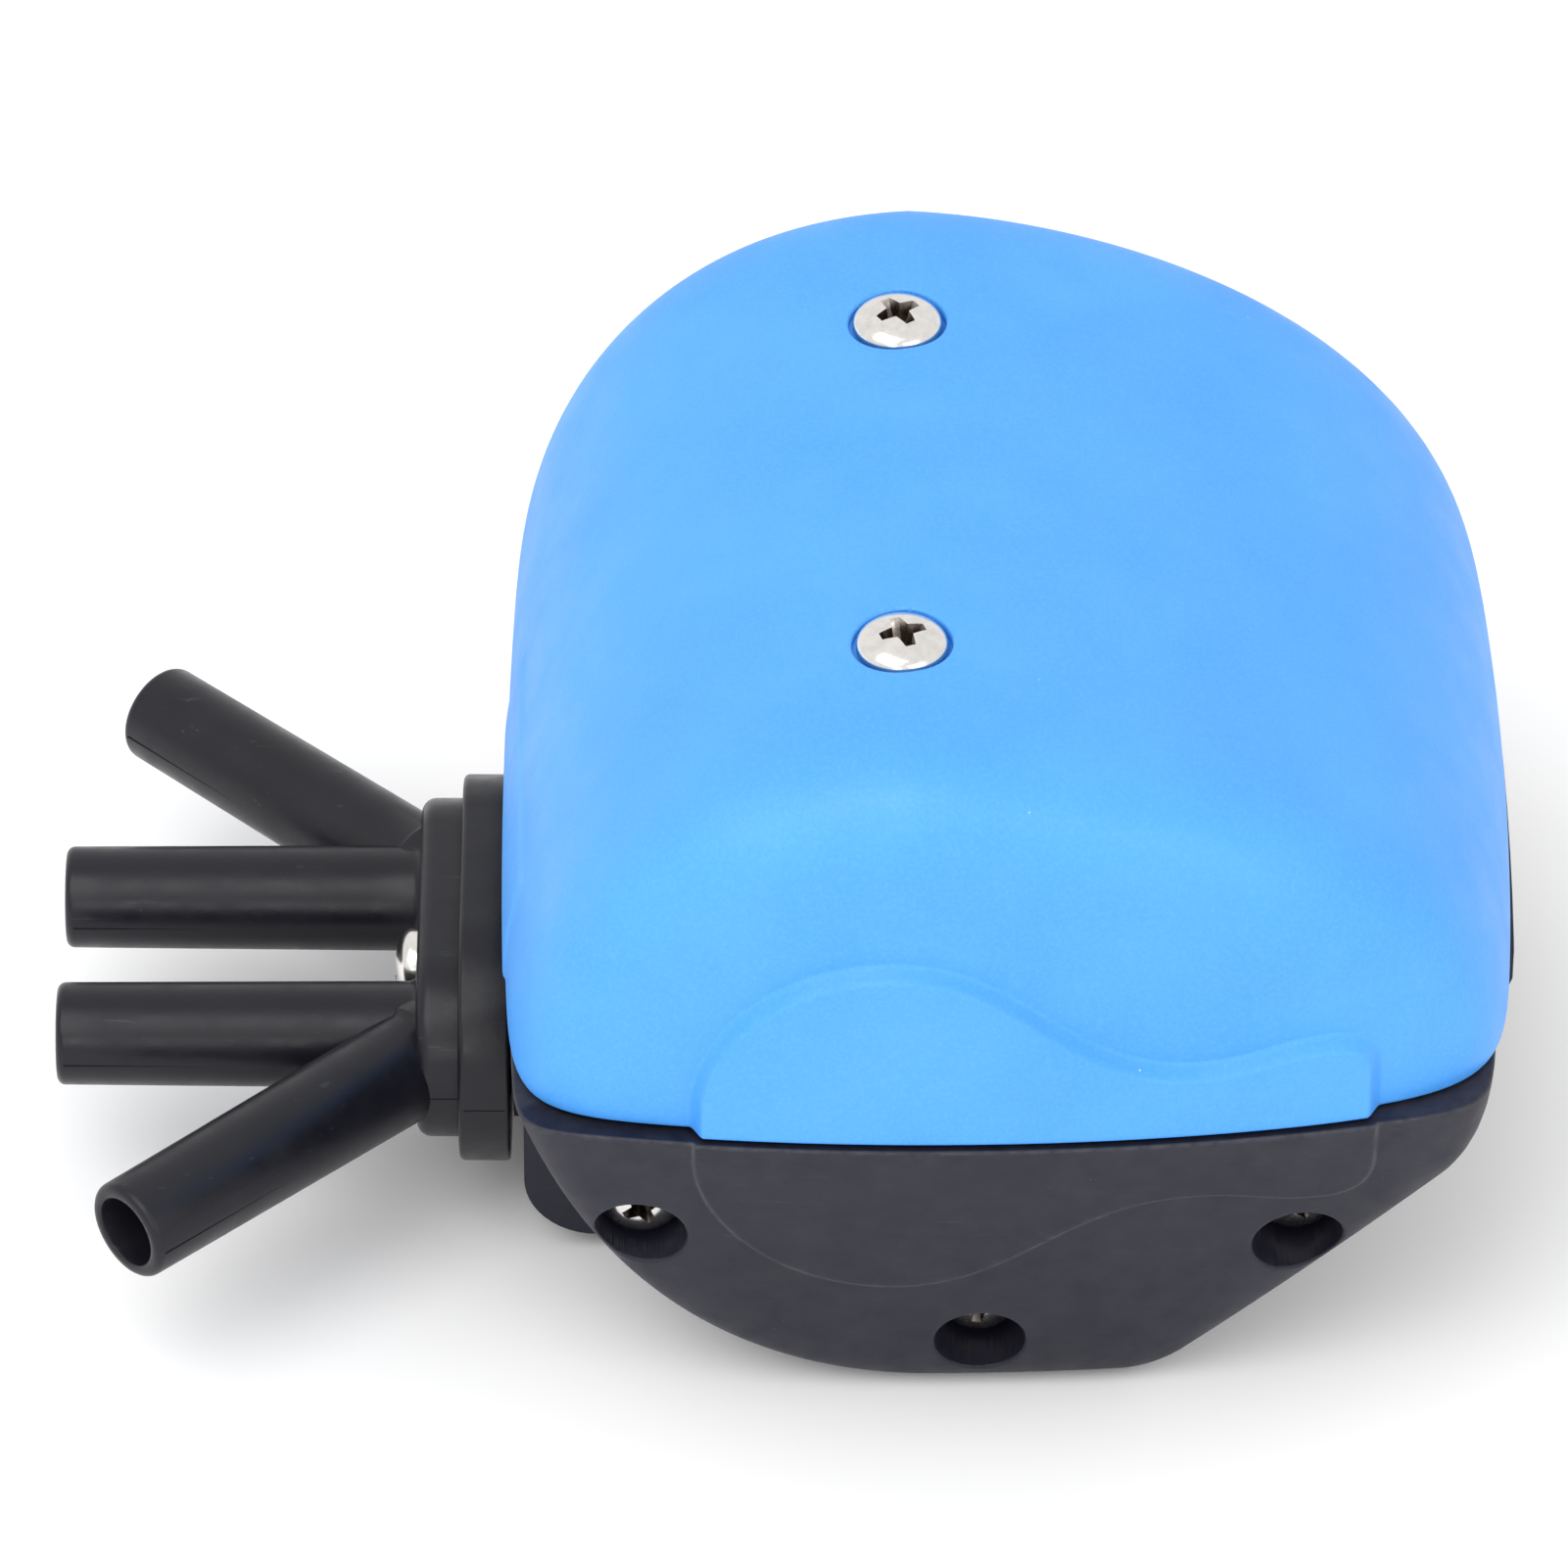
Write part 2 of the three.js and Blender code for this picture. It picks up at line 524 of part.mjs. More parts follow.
function slideValve() {
  const { half, halfLength, top, cavityHalf, cavityTop } = SHOE;
  const bottom = VALVE_PLATE.top + GAP;
  const block = box(PORT.centre - half, PORT.centre + half, -halfLength, halfLength, bottom, top);
  const cavity = box(
    PORT.centre - PORT.halfLength, PORT.centre + PORT.halfLength,
    -cavityHalf, cavityHalf, bottom - 1, cavityTop);
  return toGeometry(block.subtract(cavity));
}

function slideSpring() {
  const bend = new THREE.QuadraticBezierCurve(
    new THREE.Vector2(-6, 0), new THREE.Vector2(0, 1.5), new THREE.Vector2(6, 0)).getPoints(8);
  const strip = 0.35;
  const outline = [...bend, ...bend.map((p) => new THREE.Vector2(p.x, p.y + strip)).reverse()];
  const geometry = new THREE.ExtrudeGeometry(new THREE.Shape(outline), { depth: 5, bevelEnabled: false });
  geometry.applyMatrix4(ALONG_X);
  geometry.translate(PORT.centre - 2.5, 0, SHOE.top + 0.15);
  return toGeometry(toSolid(geometry));
}

// ---------- valve plate, pilot valve and lever ----------
function valvePlate(bottom, top, grow) {
  const { left, right, half } = VALVE_PLATE;
  const plate = box(left, right, -half, half, bottom, top);
  const slots = [-1, 0, 1].map((place) => box(
    PORT.centre - PORT.halfLength - grow, PORT.centre + PORT.halfLength + grow,
    place * PORT.offset - PORT.halfWidth - grow, place * PORT.offset + PORT.halfWidth + grow, 20, 32));
  const pilotPorts = [-1, 0, 1].map((place) => box(
    PILOT.x - 1, PILOT.x + 1, place * 4 - 0.8 - grow, place * 4 + 0.8 + grow, 20, 32));
  return toGeometry(cut(plate, [...slots, ...pilotPorts]));
}

function pilotSlide() {
  const { x, half, halfLength, top, slotHalf, slotFloor, cavity } = PILOT;
  const bottom = VALVE_PLATE.top + GAP;
  const block = box(x - half, x + half, -halfLength, halfLength, bottom, top);
  const slot = box(x - half - 1, x + half + 1, -slotHalf, slotHalf, slotFloor, top + 1);
  const hollow = box(x - 1.6, x + 1.6, -3.2, 3.2, bottom - 1, cavity);
  return toGeometry(cut(block, [slot, hollow]));
}

function leverShape() {
  const { pivotZ, arm, slotHalf, tipR, legHalf, top } = LEVER;
  const tipZ = pivotZ - arm;
  const shape = new THREE.Shape();
  shape.moveTo(-legHalf, tipZ + tipR);
  shape.absarc(0, tipZ, tipR, 0.7 * Math.PI, 2.3 * Math.PI, false);
  shape.lineTo(legHalf, tipZ + tipR);
  shape.lineTo(legHalf, pivotZ - 3.4);
  shape.lineTo(2.6, pivotZ - 1.2);
  shape.lineTo(2.9, top);
  shape.lineTo(slotHalf, top);
  shape.lineTo(slotHalf, pivotZ + arm - 2);
  shape.lineTo(-slotHalf, pivotZ + arm - 2);
  shape.lineTo(-slotHalf, top);
  shape.lineTo(-2.9, top);
  shape.lineTo(-2.6, pivotZ - 1.2);
  shape.lineTo(-legHalf, pivotZ - 3.4);
  shape.closePath();
  return shape;
}

function pilotLever() {
  const geometry = new THREE.ExtrudeGeometry(
    leverShape(), { depth: LEVER.thick, bevelEnabled: false, curveSegments: 5 });
  geometry.applyMatrix4(ALONG_X);
  geometry.translate(PILOT.x - LEVER.thick / 2, 0, 0);
  const bore = rodX(0, LEVER.pivotZ, LEVER.pinR + GAP, 0, 20, SMALL);
  return toGeometry(toSolid(geometry).subtract(bore));
}

function leverPin() {
  return toGeometry(rodX(0, LEVER.pivotZ, LEVER.pinR, PILOT.x - 2, CAVITY.right + CAVITY.wall, SMALL));
}

// ---------- hose manifold ----------
function stadiumShape(half, radius) {
  const reach = half - radius;
  const shape = new THREE.Shape();
  shape.absarc(reach, MANIFOLD.z, radius, -Math.PI / 2, Math.PI / 2, false);
  shape.absarc(-reach, MANIFOLD.z, radius, Math.PI / 2, 1.5 * Math.PI, false);
  shape.closePath();
  return shape;
}

function stadiumPlate(half, radius, x0, x1, edge) {
  const geometry = new THREE.ExtrudeGeometry(stadiumShape(half - edge, radius - edge), {
    depth: x1 - x0 - 2 * edge, curveSegments: 7, bevelEnabled: edge > 0,
    bevelSize: edge, bevelThickness: edge, bevelSegments: 2,
  });
  geometry.applyMatrix4(ALONG_X);
  geometry.translate(x0 + edge, 0, 0);
  return toSolid(geometry);
}

// A hose nozzle from its root to its tip, and its bore, as two solids.
function nozzle(root, tip) {
  const length = root.distanceTo(tip);
  const { tipR, rootR, bore, lip, face } = NOZZLE;
  const overlap = 2;
  const outside = turned([
    [0, -overlap], [rootR, -overlap], [rootR, 0], [tipR, length - lip], [bore + face, length], [0, length],
  ], FINE);
  const hollow = new THREE.CylinderGeometry(bore, bore, length + overlap + 3, FINE);
  hollow.translate(0, (length - overlap + 1) / 2, 0);
  const aim = new THREE.Quaternion().setFromUnitVectors(
    new THREE.Vector3(0, 1, 0), tip.clone().sub(root).normalize());
  const pose = new THREE.Matrix4().compose(root, aim, new THREE.Vector3(1, 1, 1));
  return { outside: toSolid(outside.applyMatrix4(pose)), hollow: toSolid(hollow.applyMatrix4(pose)) };
}

function manifold() {
  const { outerFace, step, innerFace, outerHalf, outerR, innerHalf, innerR, edge, z } = MANIFOLD;
  const outerPlate = stadiumPlate(outerHalf, outerR, outerFace, step + edge + 0.5, edge);
  const innerPlate = stadiumPlate(innerHalf, innerR, step, innerFace, 0.6);
  const nozzles = [-1, 1].flatMap((side) => [
    nozzle(
      new THREE.Vector3(outerFace, side * STRAIGHT.y, z),
      new THREE.Vector3(STRAIGHT.tip, side * STRAIGHT.y, z)),
    nozzle(
      new THREE.Vector3(outerFace, side * SPLAYED.rootY, z),
      new THREE.Vector3(SPLAYED.tipX, side * SPLAYED.tipY, z)),
  ]);
  const galleries = [-1, 1].flatMap((side) => {
    const low = Math.min(side * STRAIGHT.y, side * (SPLAYED.rootY - 1.4));
    const high = Math.max(side * STRAIGHT.y, side * (SPLAYED.rootY - 1.4));
    return [
      rodX(low, z, GALLERY_R, outerFace + 2, innerFace + 1),
      rodX(high, z, GALLERY_R, outerFace + 2, innerFace + 1),
      box(outerFace + 2, innerFace + 1, low, high, z - GALLERY_R, z + GALLERY_R),
    ];
  });
  const screwHole = rodX(0, z, HOSE_SCREW.shankR + GAP, outerFace - 5, innerFace + 5);
  const mass = joined([outerPlate, innerPlate, ...nozzles.map((one) => one.outside)]);
  return toGeometry(cut(mass, [...galleries, screwHole, ...nozzles.map((one) => one.hollow)]));
}

function manifoldGasket() {
  const { half, radius, thick } = GASKET;
  const x0 = MANIFOLD.innerFace + GAP;
  const sheet = stadiumPlate(half, radius, x0, x0 + thick, 0);
  const holes = [-1, 1].map((side) => rodX(side * STRAIGHT.y, MANIFOLD.z, CHANNEL_R + 0.4, x0 - 1, x0 + 2));
  const screwHole = rodX(0, MANIFOLD.z, HOSE_SCREW.shankR + 0.5, x0 - 1, x0 + 2);
  return toGeometry(cut(sheet, [...holes, screwHole]));
}

// ---------- inlet, rate screw and fasteners ----------
function inletGrommet() {
  const { socketR, boreR, lipZ, grommetTop } = INLET;
  const outer = socketR - GAP;
  const profile = [
    [boreR, lipZ + 1], [boreR + 1, lipZ], [outer, lipZ], [outer, grommetTop], [boreR - 0.8, grommetTop],
    [boreR - 0.8, grommetTop - 2], [boreR, grommetTop - 3], [boreR, lipZ + 1],
  ];
  return toGeometry(toSolid(standUp(turned(profile, FINE)).translate(AXIS.x, 0, 0)));
}

function rateScrew() {
  const { headR, headTop, headEnd, shankR, shankEnd, tip } = RATE;
  const groove = RATE_RING.radius - RATE_RING.section - 0.15;
  const [near, far] = [RATE_RING.middle - 0.8, RATE_RING.middle + 0.8];
  const profile = [
    [0, -tip], [0.3, -tip], [shankR, -shankEnd], [shankR, -far - 0.2], [groove, -far], [groove, -near],
    [shankR, -near + 0.2], [shankR, -headEnd], [headR, -headEnd], [headR, -headTop - 0.4],
    [headR - 0.4, -headTop], [0, -headTop],
  ];
  const blank = toSolid(standUp(turned(profile)));
  const slot = box(-5, 5, -SLOT.width / 2, SLOT.width / 2, -headTop - SLOT.depth, 2);
  return toGeometry(toSolid(onSlant(toGeometry(blank.subtract(slot)))));
}

function rateScrewRing() {
  const torus = new THREE.TorusGeometry(RATE_RING.radius, RATE_RING.section, 6, ROUND);
  torus.translate(0, 0, -RATE_RING.middle);
  return toGeometry(toSolid(onSlant(torus)));
}

// A pan-head screw standing on its seat at the origin, head up.
function panScrew({ headR, headH, shankR, length }, sides, steps) {
  const dome = [];
  for (let i = 0; i < steps; i += 1) {
    const turn = (i / steps) * (Math.PI / 2);
    dome.push([headR * (0.25 + 0.75 * Math.cos(turn)), 0.35 * headH + 0.65 * headH * Math.sin(turn)]);
  }
  const profile = [
    [0, -length], [0.4 * shankR, -length], [shankR, -length + 1.4], [shankR, 0], [headR, 0], ...dome,
    [0.25 * headR, headH], [0, headH],
  ];
  const blank = toSolid(standUp(turned(profile, sides)));
  const arm = 0.52 * headR;
  const wing = 0.12 * headR;
  const floor = 0.25 * headH;
  const across = box(-arm, arm, -wing, wing, floor, headH + 1);
  const along = box(-wing, wing, -arm, arm, floor, headH + 1);
  return toGeometry(blank.subtract(across.add(along)));
}

// ---------- assembly ----------
const part = new THREE.Group();
const housing = new THREE.Group();
housing.position.x = ORIGIN_SHIFT_X;
part.add(housing);

function place(name, geometry, material, position = [0, 0, 0], rotation = [0, 0, 0]) {
  const mesh = new THREE.Mesh(geometry, material);
  mesh.name = name;
  mesh.position.set(...position);
  mesh.rotation.set(...rotation);
  housing.add(mesh);
}

place('cover', toGeometry(cover()), BLUE);
place('valve_body', toGeometry(valveBody()), BLACK);
place('shell_front', toGeometry(shell(-1)), BLACK);
place('shell_back', toGeometry(shell(1)), BLACK);
place('air_filter', toGeometry(box(
  CAVITY.left + GAP, CAVITY.right - GAP, -WALL_INNER + GAP, WALL_INNER - GAP,
  FILTER.bottom, FILTER.top)), FOAM);

const coverScrew = panScrew(COVER_SCREW, FINE, 3);
place('cover_screw_front', coverScrew, STEEL, [COVER_SCREW_X, -COVER_SCREW_Y, COVER_SEAT_Z], [0, 0, 0.35]);
place('cover_screw_back', coverScrew, STEEL, [COVER_SCREW_X, COVER_SCREW_Y, COVER_SEAT_Z], [0, 0, 0.6]);

for (const [side, end] of [[-1, 'front'], [1, 'back']]) {
  for (const [spot, [x, z, seat]] of Object.entries(SHELL_SCREWS)) {
    const screw = panScrew({ ...SHELL_SCREW, length: seat - SHELL_SCREW.end }, SMALL, 2);
    place(`shell_screw_${end}_${spot}`, screw, STEEL, [x, side * seat, z], [-side * Math.PI / 2, 0, 0]);
  }
  place(`diaphragm_${end}`, diaphragm(side), RUBBER);
  const { middle, thick } = MEMBRANE;
  const innerTop = middle - thick / 2 - GAP;
  const outerBase = middle + thick / 2 + GAP;
  const innerPlate = stackRing(side, innerTop - PLATE.thick, innerTop, PLATE.radius);
  const outerPlate = stackRing(side, outerBase, outerBase + PLATE.thick, PLATE.radius);
  place(`diaphragm_plate_inner_${end}`, innerPlate, WHITE);
  place(`diaphragm_plate_outer_${end}`, outerPlate, WHITE);
  place(`rod_nut_${end}`, rodNut(side), BRASS);
  place(`rod_bush_${end}`, rodBush(side), WHITE);
}

place('shuttle_rod', shuttleRod(), STEEL);
place('slide_yoke', slideYoke(), WHITE);
place('slide_valve', slideValve(), WHITE);
place('slide_spring', slideSpring(), STEEL);
place('valve_plate', valvePlate(VALVE_PLATE.bottom, VALVE_PLATE.top, 0), BLACK);
place('valve_plate_gasket', valvePlate(CAVITY.floor + GAP, VALVE_PLATE.bottom - GAP, 0.4), RUBBER);
place('pilot_slide', pilotSlide(), WHITE);
place('pilot_lever', pilotLever(), WHITE);
place('lever_pin', leverPin(), STEEL);

place('manifold', manifold(), BLACK);
place('manifold_gasket', manifoldGasket(), RUBBER);
const hoseScrew = panScrew(HOSE_SCREW, ROUND, 3);
place('manifold_screw', hoseScrew, STEEL, [MANIFOLD.outerFace, 0, MANIFOLD.z], [0, -Math.PI / 2, 0]);

place('inlet_grommet', inletGrommet(), RUBBER);
place('rate_screw', rateScrew(), BRASS);
place('rate_screw_ring', rateScrewRing(), RUBBER);

export default part;
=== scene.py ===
"""Looks of the milking pulsator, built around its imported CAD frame.

Shapes are drawn in millimetres about the housing's own centre and moved to the row frame, in metres,
by piece(). +X points away from the hose nozzles, +Y to the back shell and +Z up.
"""
import math

import bmesh
import bpy
import numpy as np
from mathutils import Matrix, Vector


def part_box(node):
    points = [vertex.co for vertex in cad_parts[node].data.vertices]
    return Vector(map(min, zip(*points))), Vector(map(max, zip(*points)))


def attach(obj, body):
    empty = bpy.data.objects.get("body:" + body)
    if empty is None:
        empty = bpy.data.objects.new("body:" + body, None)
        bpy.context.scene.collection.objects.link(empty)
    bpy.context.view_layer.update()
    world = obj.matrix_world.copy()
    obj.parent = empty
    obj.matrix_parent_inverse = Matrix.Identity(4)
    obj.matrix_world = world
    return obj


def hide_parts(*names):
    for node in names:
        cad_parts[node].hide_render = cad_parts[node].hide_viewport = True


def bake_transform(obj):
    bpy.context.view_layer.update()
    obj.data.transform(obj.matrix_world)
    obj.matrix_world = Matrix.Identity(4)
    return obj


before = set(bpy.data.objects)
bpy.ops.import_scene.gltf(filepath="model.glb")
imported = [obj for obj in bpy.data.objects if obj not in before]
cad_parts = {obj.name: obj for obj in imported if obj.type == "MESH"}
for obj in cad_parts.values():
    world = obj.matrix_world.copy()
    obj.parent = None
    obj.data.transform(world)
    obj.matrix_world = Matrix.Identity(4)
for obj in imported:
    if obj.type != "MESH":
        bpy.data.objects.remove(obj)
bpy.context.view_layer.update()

MM = 0.001

# ---------- the housing's forms, as in the CAD ----------
ROD_LOW, ROD_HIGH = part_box("shuttle_rod")
AXIS_X, AXIS_Z = -3.0, (ROD_LOW.z + ROD_HIGH.z) / 2 / MM
SHIFT_X = (ROD_LOW.x + ROD_HIGH.x) / 2 / MM - AXIS_X
RIM_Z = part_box("cover")[0].z / MM
# centre line that the outer forms' sections shrink towards
HEART_X = -8.4
GAP = 0.3

# left, right and peak bound the section; half is half the depth at the rim, n rounds the corners
# towards the faces and lean is the faces' draft
HOOD = {"left": -44.1, "right": 44.7, "peak": 71.8, "half": 45.35, "n": 11, "lean": 0.015}
HOOD_WALL = 2.2
SHELL = {"left": -43.8, "right": 43.7, "half": 47.0, "n": 24, "lean": 0.24}
FLAT_LEFT, FLAT_RIGHT = -7.2, 14.0
SLANT_END = (40.6, 24.8)
# how far faces bow, per square millimetre from the middle
FRONT_BOW = 0.0022
SIDE_BOW = 0.0009
BOW_REACH = 45.0
PANEL_PROUD = 1.5
LOWER_PANEL_PROUD = 0.3
UPPER_PANEL = {"rise": 10.0, "peak": 18.7, "dip": 7.0, "hump": 8.7, "corner": 4.6}
LOWER_PANEL = {"rise": 11.0, "peak": 20.0, "dip": 8.3, "hump": 9.9, "corner": 5.0}
PAD = {"front": -25.0, "back": 8.0, "top": 46.5, "proud": 0.25}
MATING_Y = 20.0

COUNTERBORE_R = 4.0
COUNTERBORE_EDGE_R = 0.35
SHELL_SCREW_END = 15.0
# x, z and the distance of the head's seat from the middle plane
LOWER_SCREWS = {"left": (-31.8, 21.2, 37.0), "bottom": (-2.1, 6.8, 33.5), "right": (25.4, 18.8, 33.5)}
UPPER_SCREWS = {"upper_left": (-29.0, 53.0, 33.0), "upper_right": (24.0, 50.5, 33.0)}
SHELL_SCREWS = {**LOWER_SCREWS, **UPPER_SCREWS}
COVER_SCREW_X, COVER_SCREW_Y = -9.5, 23.0
COVER_SEAT_Z = 70.4
COVER_RECESS_R = 4.35
COVER_RECESS_EDGE_R = 0.3
COVER_BOSS = {"radius": 5.4, "low": 68.2}
M4_HOLE_R = 2.2

# the diaphragm chambers inside the shells, about the shuttle's axis
DOME = {"radius": 26.5, "end": 38.0}
CHAMBER = {"radius": 22.1, "end": 35.0}
BEAD_SEAT = {"radius": 24.5, "end": 21.2}
UPPER_BOSS_R = 4.5
SHELL_HOLE_R = 1.9
POST = {"radius": 4.2, "low": 60.0, "top": 67.9, "hole_end": 62.6}

MANIFOLD_Z = 16.2
OUTER_FACE, STEP_FACE, INNER_FACE = -52.0, -48.2, -43.65
FLANGE = {"half": 18.6, "radius": 9.2}
BASE = {"half": 20.2, "radius": 12.3}
NOZZLE = {"tip_r": 4.575, "root_r": 4.775, "bore": 3.25, "lip": 0.75}
STRAIGHT_Y, STRAIGHT_TIP_X = 9.6, -84.1
SPLAYED_ROOT_Y, SPLAYED_TIP = 13.3, (-77.0, 36.7)
CHANNEL = {"radius": 4.6, "outer_y": 11.9}
PARTING_LINE = 0.07

# head radius, head height, shank radius
COVER_SCREW = (4.0, 2.3, 1.9)
SHELL_SCREW = (3.5, 2.1, 1.6)
MANIFOLD_SCREW = (3.4, 2.2, 1.9)
COVER_SCREW_LENGTH = 7.2
MANIFOLD_SCREW_LENGTH = 20.0
# a pan head's flat top as a share of its radius, and its rim as a share of its height
HEAD_FLAT, HEAD_EDGE = 0.18, 0.30

RATE_X = 28.5

# |y| past which a point lies on the hood's or a shell's outer face
HOOD_FACE_Y, SHELL_FACE_Y = 36.0, 30.0
# bounds past the whole housing, for cutting tools
ASIDE, ABOVE = 60.0, 90.0
# distance given to points with no feature near them
FAR = 99.0
# sections along an outer form's depth
STATIONS = 104


# ---------- mesh helpers ----------
def cubic(p0, p1, p2, p3, count):
    t = np.linspace(0, 1, count + 1)[:, None]
    p0, p1, p2, p3 = (np.array(p, float) for p in (p0, p1, p2, p3))
    return (1 - t) ** 3 * p0 + 3 * t * (1 - t) ** 2 * p1 + 3 * t ** 2 * (1 - t) * p2 + t ** 3 * p3


def quadratic(p0, p1, p2, count):
    t = np.linspace(0, 1, count + 1)[:, None]
    p0, p1, p2 = (np.array(p, float) for p in (p0, p1, p2))
    return (1 - t) ** 2 * p0 + 2 * t * (1 - t) * p1 + t ** 2 * p2


def as_object(bm, name):
    mesh = bpy.data.meshes.new(name)
    bmesh.ops.recalc_face_normals(bm, faces=bm.faces)
    bm.to_mesh(mesh)
    bm.free()
    obj = bpy.data.objects.new(name, mesh)
    bpy.context.scene.collection.objects.link(obj)
    return obj


def loft(loops, name="tool"):
    """A closed solid through rings of points of equal length, with a flat face at each end."""
    bm = bmesh.new()
    rings = [[bm.verts.new(p) for p in loop] for loop in loops]
    count = len(rings[0])
    for low, high in zip(rings, rings[1:]):
        for i in range(count):
            j = (i + 1) % count
            bm.faces.new((low[i], low[j], high[j], high[i]))
    bm.faces.new(rings[0])
    bm.faces.new(rings[-1])
    return as_object(bm, name)


def turned(profile, sides=64, name="tool"):
    """A profile of (radius, height) turned about Z. It starts and ends on the axis, or closes on itself."""
    bm = bmesh.new()
    rings = []
    for radius, height in profile:
        if radius < 1e-6:
            rings.append([bm.verts.new((0, 0, height))])
            continue
        turn = [2 * math.pi * i / sides for i in range(sides)]
        ring = [(radius * math.cos(a), radius * math.sin(a), height) for a in turn]
        rings.append([bm.verts.new(point) for point in ring])
    for low, high in zip(rings, rings[1:]):
        for i in range(sides):
            j = (i + 1) % sides
            corners = [low[i % len(low)], low[j % len(low)], high[j % len(high)], high[i % len(high)]]
            unique = list(dict.fromkeys(corners))
            if len(unique) > 2:
                bm.faces.new(unique)
    bmesh.ops.remove_doubles(bm, verts=bm.verts, dist=1e-5)
    return as_object(bm, name)


def box(x0, x1, y0, y1, z0, z1):
    loop = [(x0, y0), (x1, y0), (x1, y1), (x0, y1)]
    return loft([[(x, y, z) for x, y in loop] for z in (z0, z1)])


def rod(axis, u, v, radius, start, end, sides=72):
    """A cylinder along a coordinate axis, through (u, v) of the other two."""
    obj = turned([(0, start), (radius, start), (radius, end), (0, end)], sides)
    turns = {
        "x": Matrix(((0, 0, 1, 0), (1, 0, 0, u), (0, 1, 0, v), (0, 0, 0, 1))),
        "y": Matrix(((0, 1, 0, u), (0, 0, 1, 0), (1, 0, 0, v), (0, 0, 0, 1))),
        "z": Matrix(((1, 0, 0, u), (0, 1, 0, v), (0, 0, 1, 0), (0, 0, 0, 1))),
    }
    obj.data.transform(turns[axis])
    return obj


def carve(target, steps):
    """Applies a list of (operation, tool object) booleans and removes the tools."""
    for operation, tool in steps:
        modifier = target.modifiers.new(operation.lower(), "BOOLEAN")
        modifier.solver = "MANIFOLD"
        modifier.operation = operation
        modifier.object = tool
    bpy.context.view_layer.update()
    graph = bpy.context.evaluated_depsgraph_get()
    mesh = bpy.data.meshes.new_from_object(target.evaluated_get(graph))
    target.modifiers.clear()
    target.data = mesh
    for _, tool in steps:
        bpy.data.objects.remove(tool)
    return target


def piece(obj, name, material, body, replaced=(), sharp_deg=32, place=None):
    """Names a finished mesh, moves it to the row frame in metres and makes it ride."""
    if place is not None:
        obj.data.transform(place)
    obj.data.transform(Matrix.Diagonal((MM, MM, MM, 1)) @ Matrix.Translation((SHIFT_X, 0, 0)))
    obj.name = name
    obj.data.name = name
    obj.data.materials.clear()
    obj.data.materials.append(material)
    obj.data.shade_smooth()
    obj.data.set_sharp_from_angle(angle=math.radians(sharp_deg))
    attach(obj, body)
    if replaced:
        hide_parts(*replaced)
    return obj


# ---------- materials ----------
class Shader:
    """A Principled material and short calls for its nodes. Lengths are in millimetres."""

    def __init__(self, name, **sockets):
        self.material = bpy.data.materials.new(name)
        self.material.use_nodes = True
        self.tree = self.material.node_tree
        self.bsdf = self.tree.nodes["Principled BSDF"]
        for key, value in sockets.items():
            self.bsdf.inputs[key.replace("_", " ")].default_value = value
        self.coordinates = self.tree.nodes.new("ShaderNodeTexCoord")

    def node(self, kind, **inputs):
        made = self.tree.nodes.new(kind)
        for key, value in inputs.items():
            socket = made.inputs[key.replace("_", " ")]
            if isinstance(value, bpy.types.NodeSocket):
                self.tree.links.new(value, socket)
            else:
                socket.default_value = value
        return made

    def place(self, stretch=(1, 1, 1)):
        mapped = self.node("ShaderNodeMapping", Vector=self.coordinates.outputs["Object"])
        mapped.inputs["Scale"].default_value = stretch
        return mapped.outputs[0]

    def noise(self, size_mm, detail=3.0, rough=0.55, stretch=(1, 1, 1)):
        made = self.node("ShaderNodeTexNoise", Vector=self.place(stretch), Scale=1 / (size_mm * MM))
        made.inputs["Detail"].default_value = detail
        made.inputs["Roughness"].default_value = rough
        return made.outputs[0]

    def band(self, value, low, high, to_low=0.0, to_high=1.0):
        made = self.node("ShaderNodeMapRange", Value=value)
        for key, number in (("From Min", low), ("From Max", high), ("To Min", to_low), ("To Max", to_high)):
            made.inputs[key].default_value = number
        return made.outputs[0]

    def specks(self, spacing_mm, size, stretch=(1, 1, 1)):
        """Sparse dots: 1 inside a dot and 0 elsewhere."""
        cells = self.node("ShaderNodeTexVoronoi", Vector=self.place(stretch), Scale=1 / (spacing_mm * MM))
        return self.band(cells.outputs["Distance"], size, size * 0.6)

    def math(self, operation, a, b):
        made = self.tree.nodes.new("ShaderNodeMath")
        made.operation = operation
        for socket, value in zip(made.inputs, (a, b)):
            if isinstance(value, bpy.types.NodeSocket):
                self.tree.links.new(value, socket)
            else:
                socket.default_value = value
        return made.outputs[0]

    def mix(self, factor, a, b):
        made = self.tree.nodes.new("ShaderNodeMix")
        made.data_type = "RGBA"
        for socket, value in zip((made.inputs[0], made.inputs[6], made.inputs[7]), (factor, a, b)):
            if isinstance(value, bpy.types.NodeSocket):
                self.tree.links.new(value, socket)
            elif isinstance(value, tuple):
                socket.default_value = (*value, 1.0)
            else:
                socket.default_value = value
        return made.outputs[2]

    def color(self, socket):
        self.tree.links.new(socket, self.bsdf.inputs["Base Color"])

    def roughness(self, socket):
        self.tree.links.new(socket, self.bsdf.inputs["Roughness"])

    def bump(self, *heights):
        """Chained bumps of (socket, depth in millimetres)."""
        normal = None
        for height, depth_mm in heights:
            made = self.node("ShaderNodeBump", Height=height)
            made.inputs["Strength"].default_value = 1.0
            made.inputs["Distance"].default_value = depth_mm * MM
            if normal is not None:
                self.tree.links.new(normal, made.inputs["Normal"])
            normal = made.outputs[0]
        self.tree.links.new(normal, self.bsdf.inputs["Normal"])


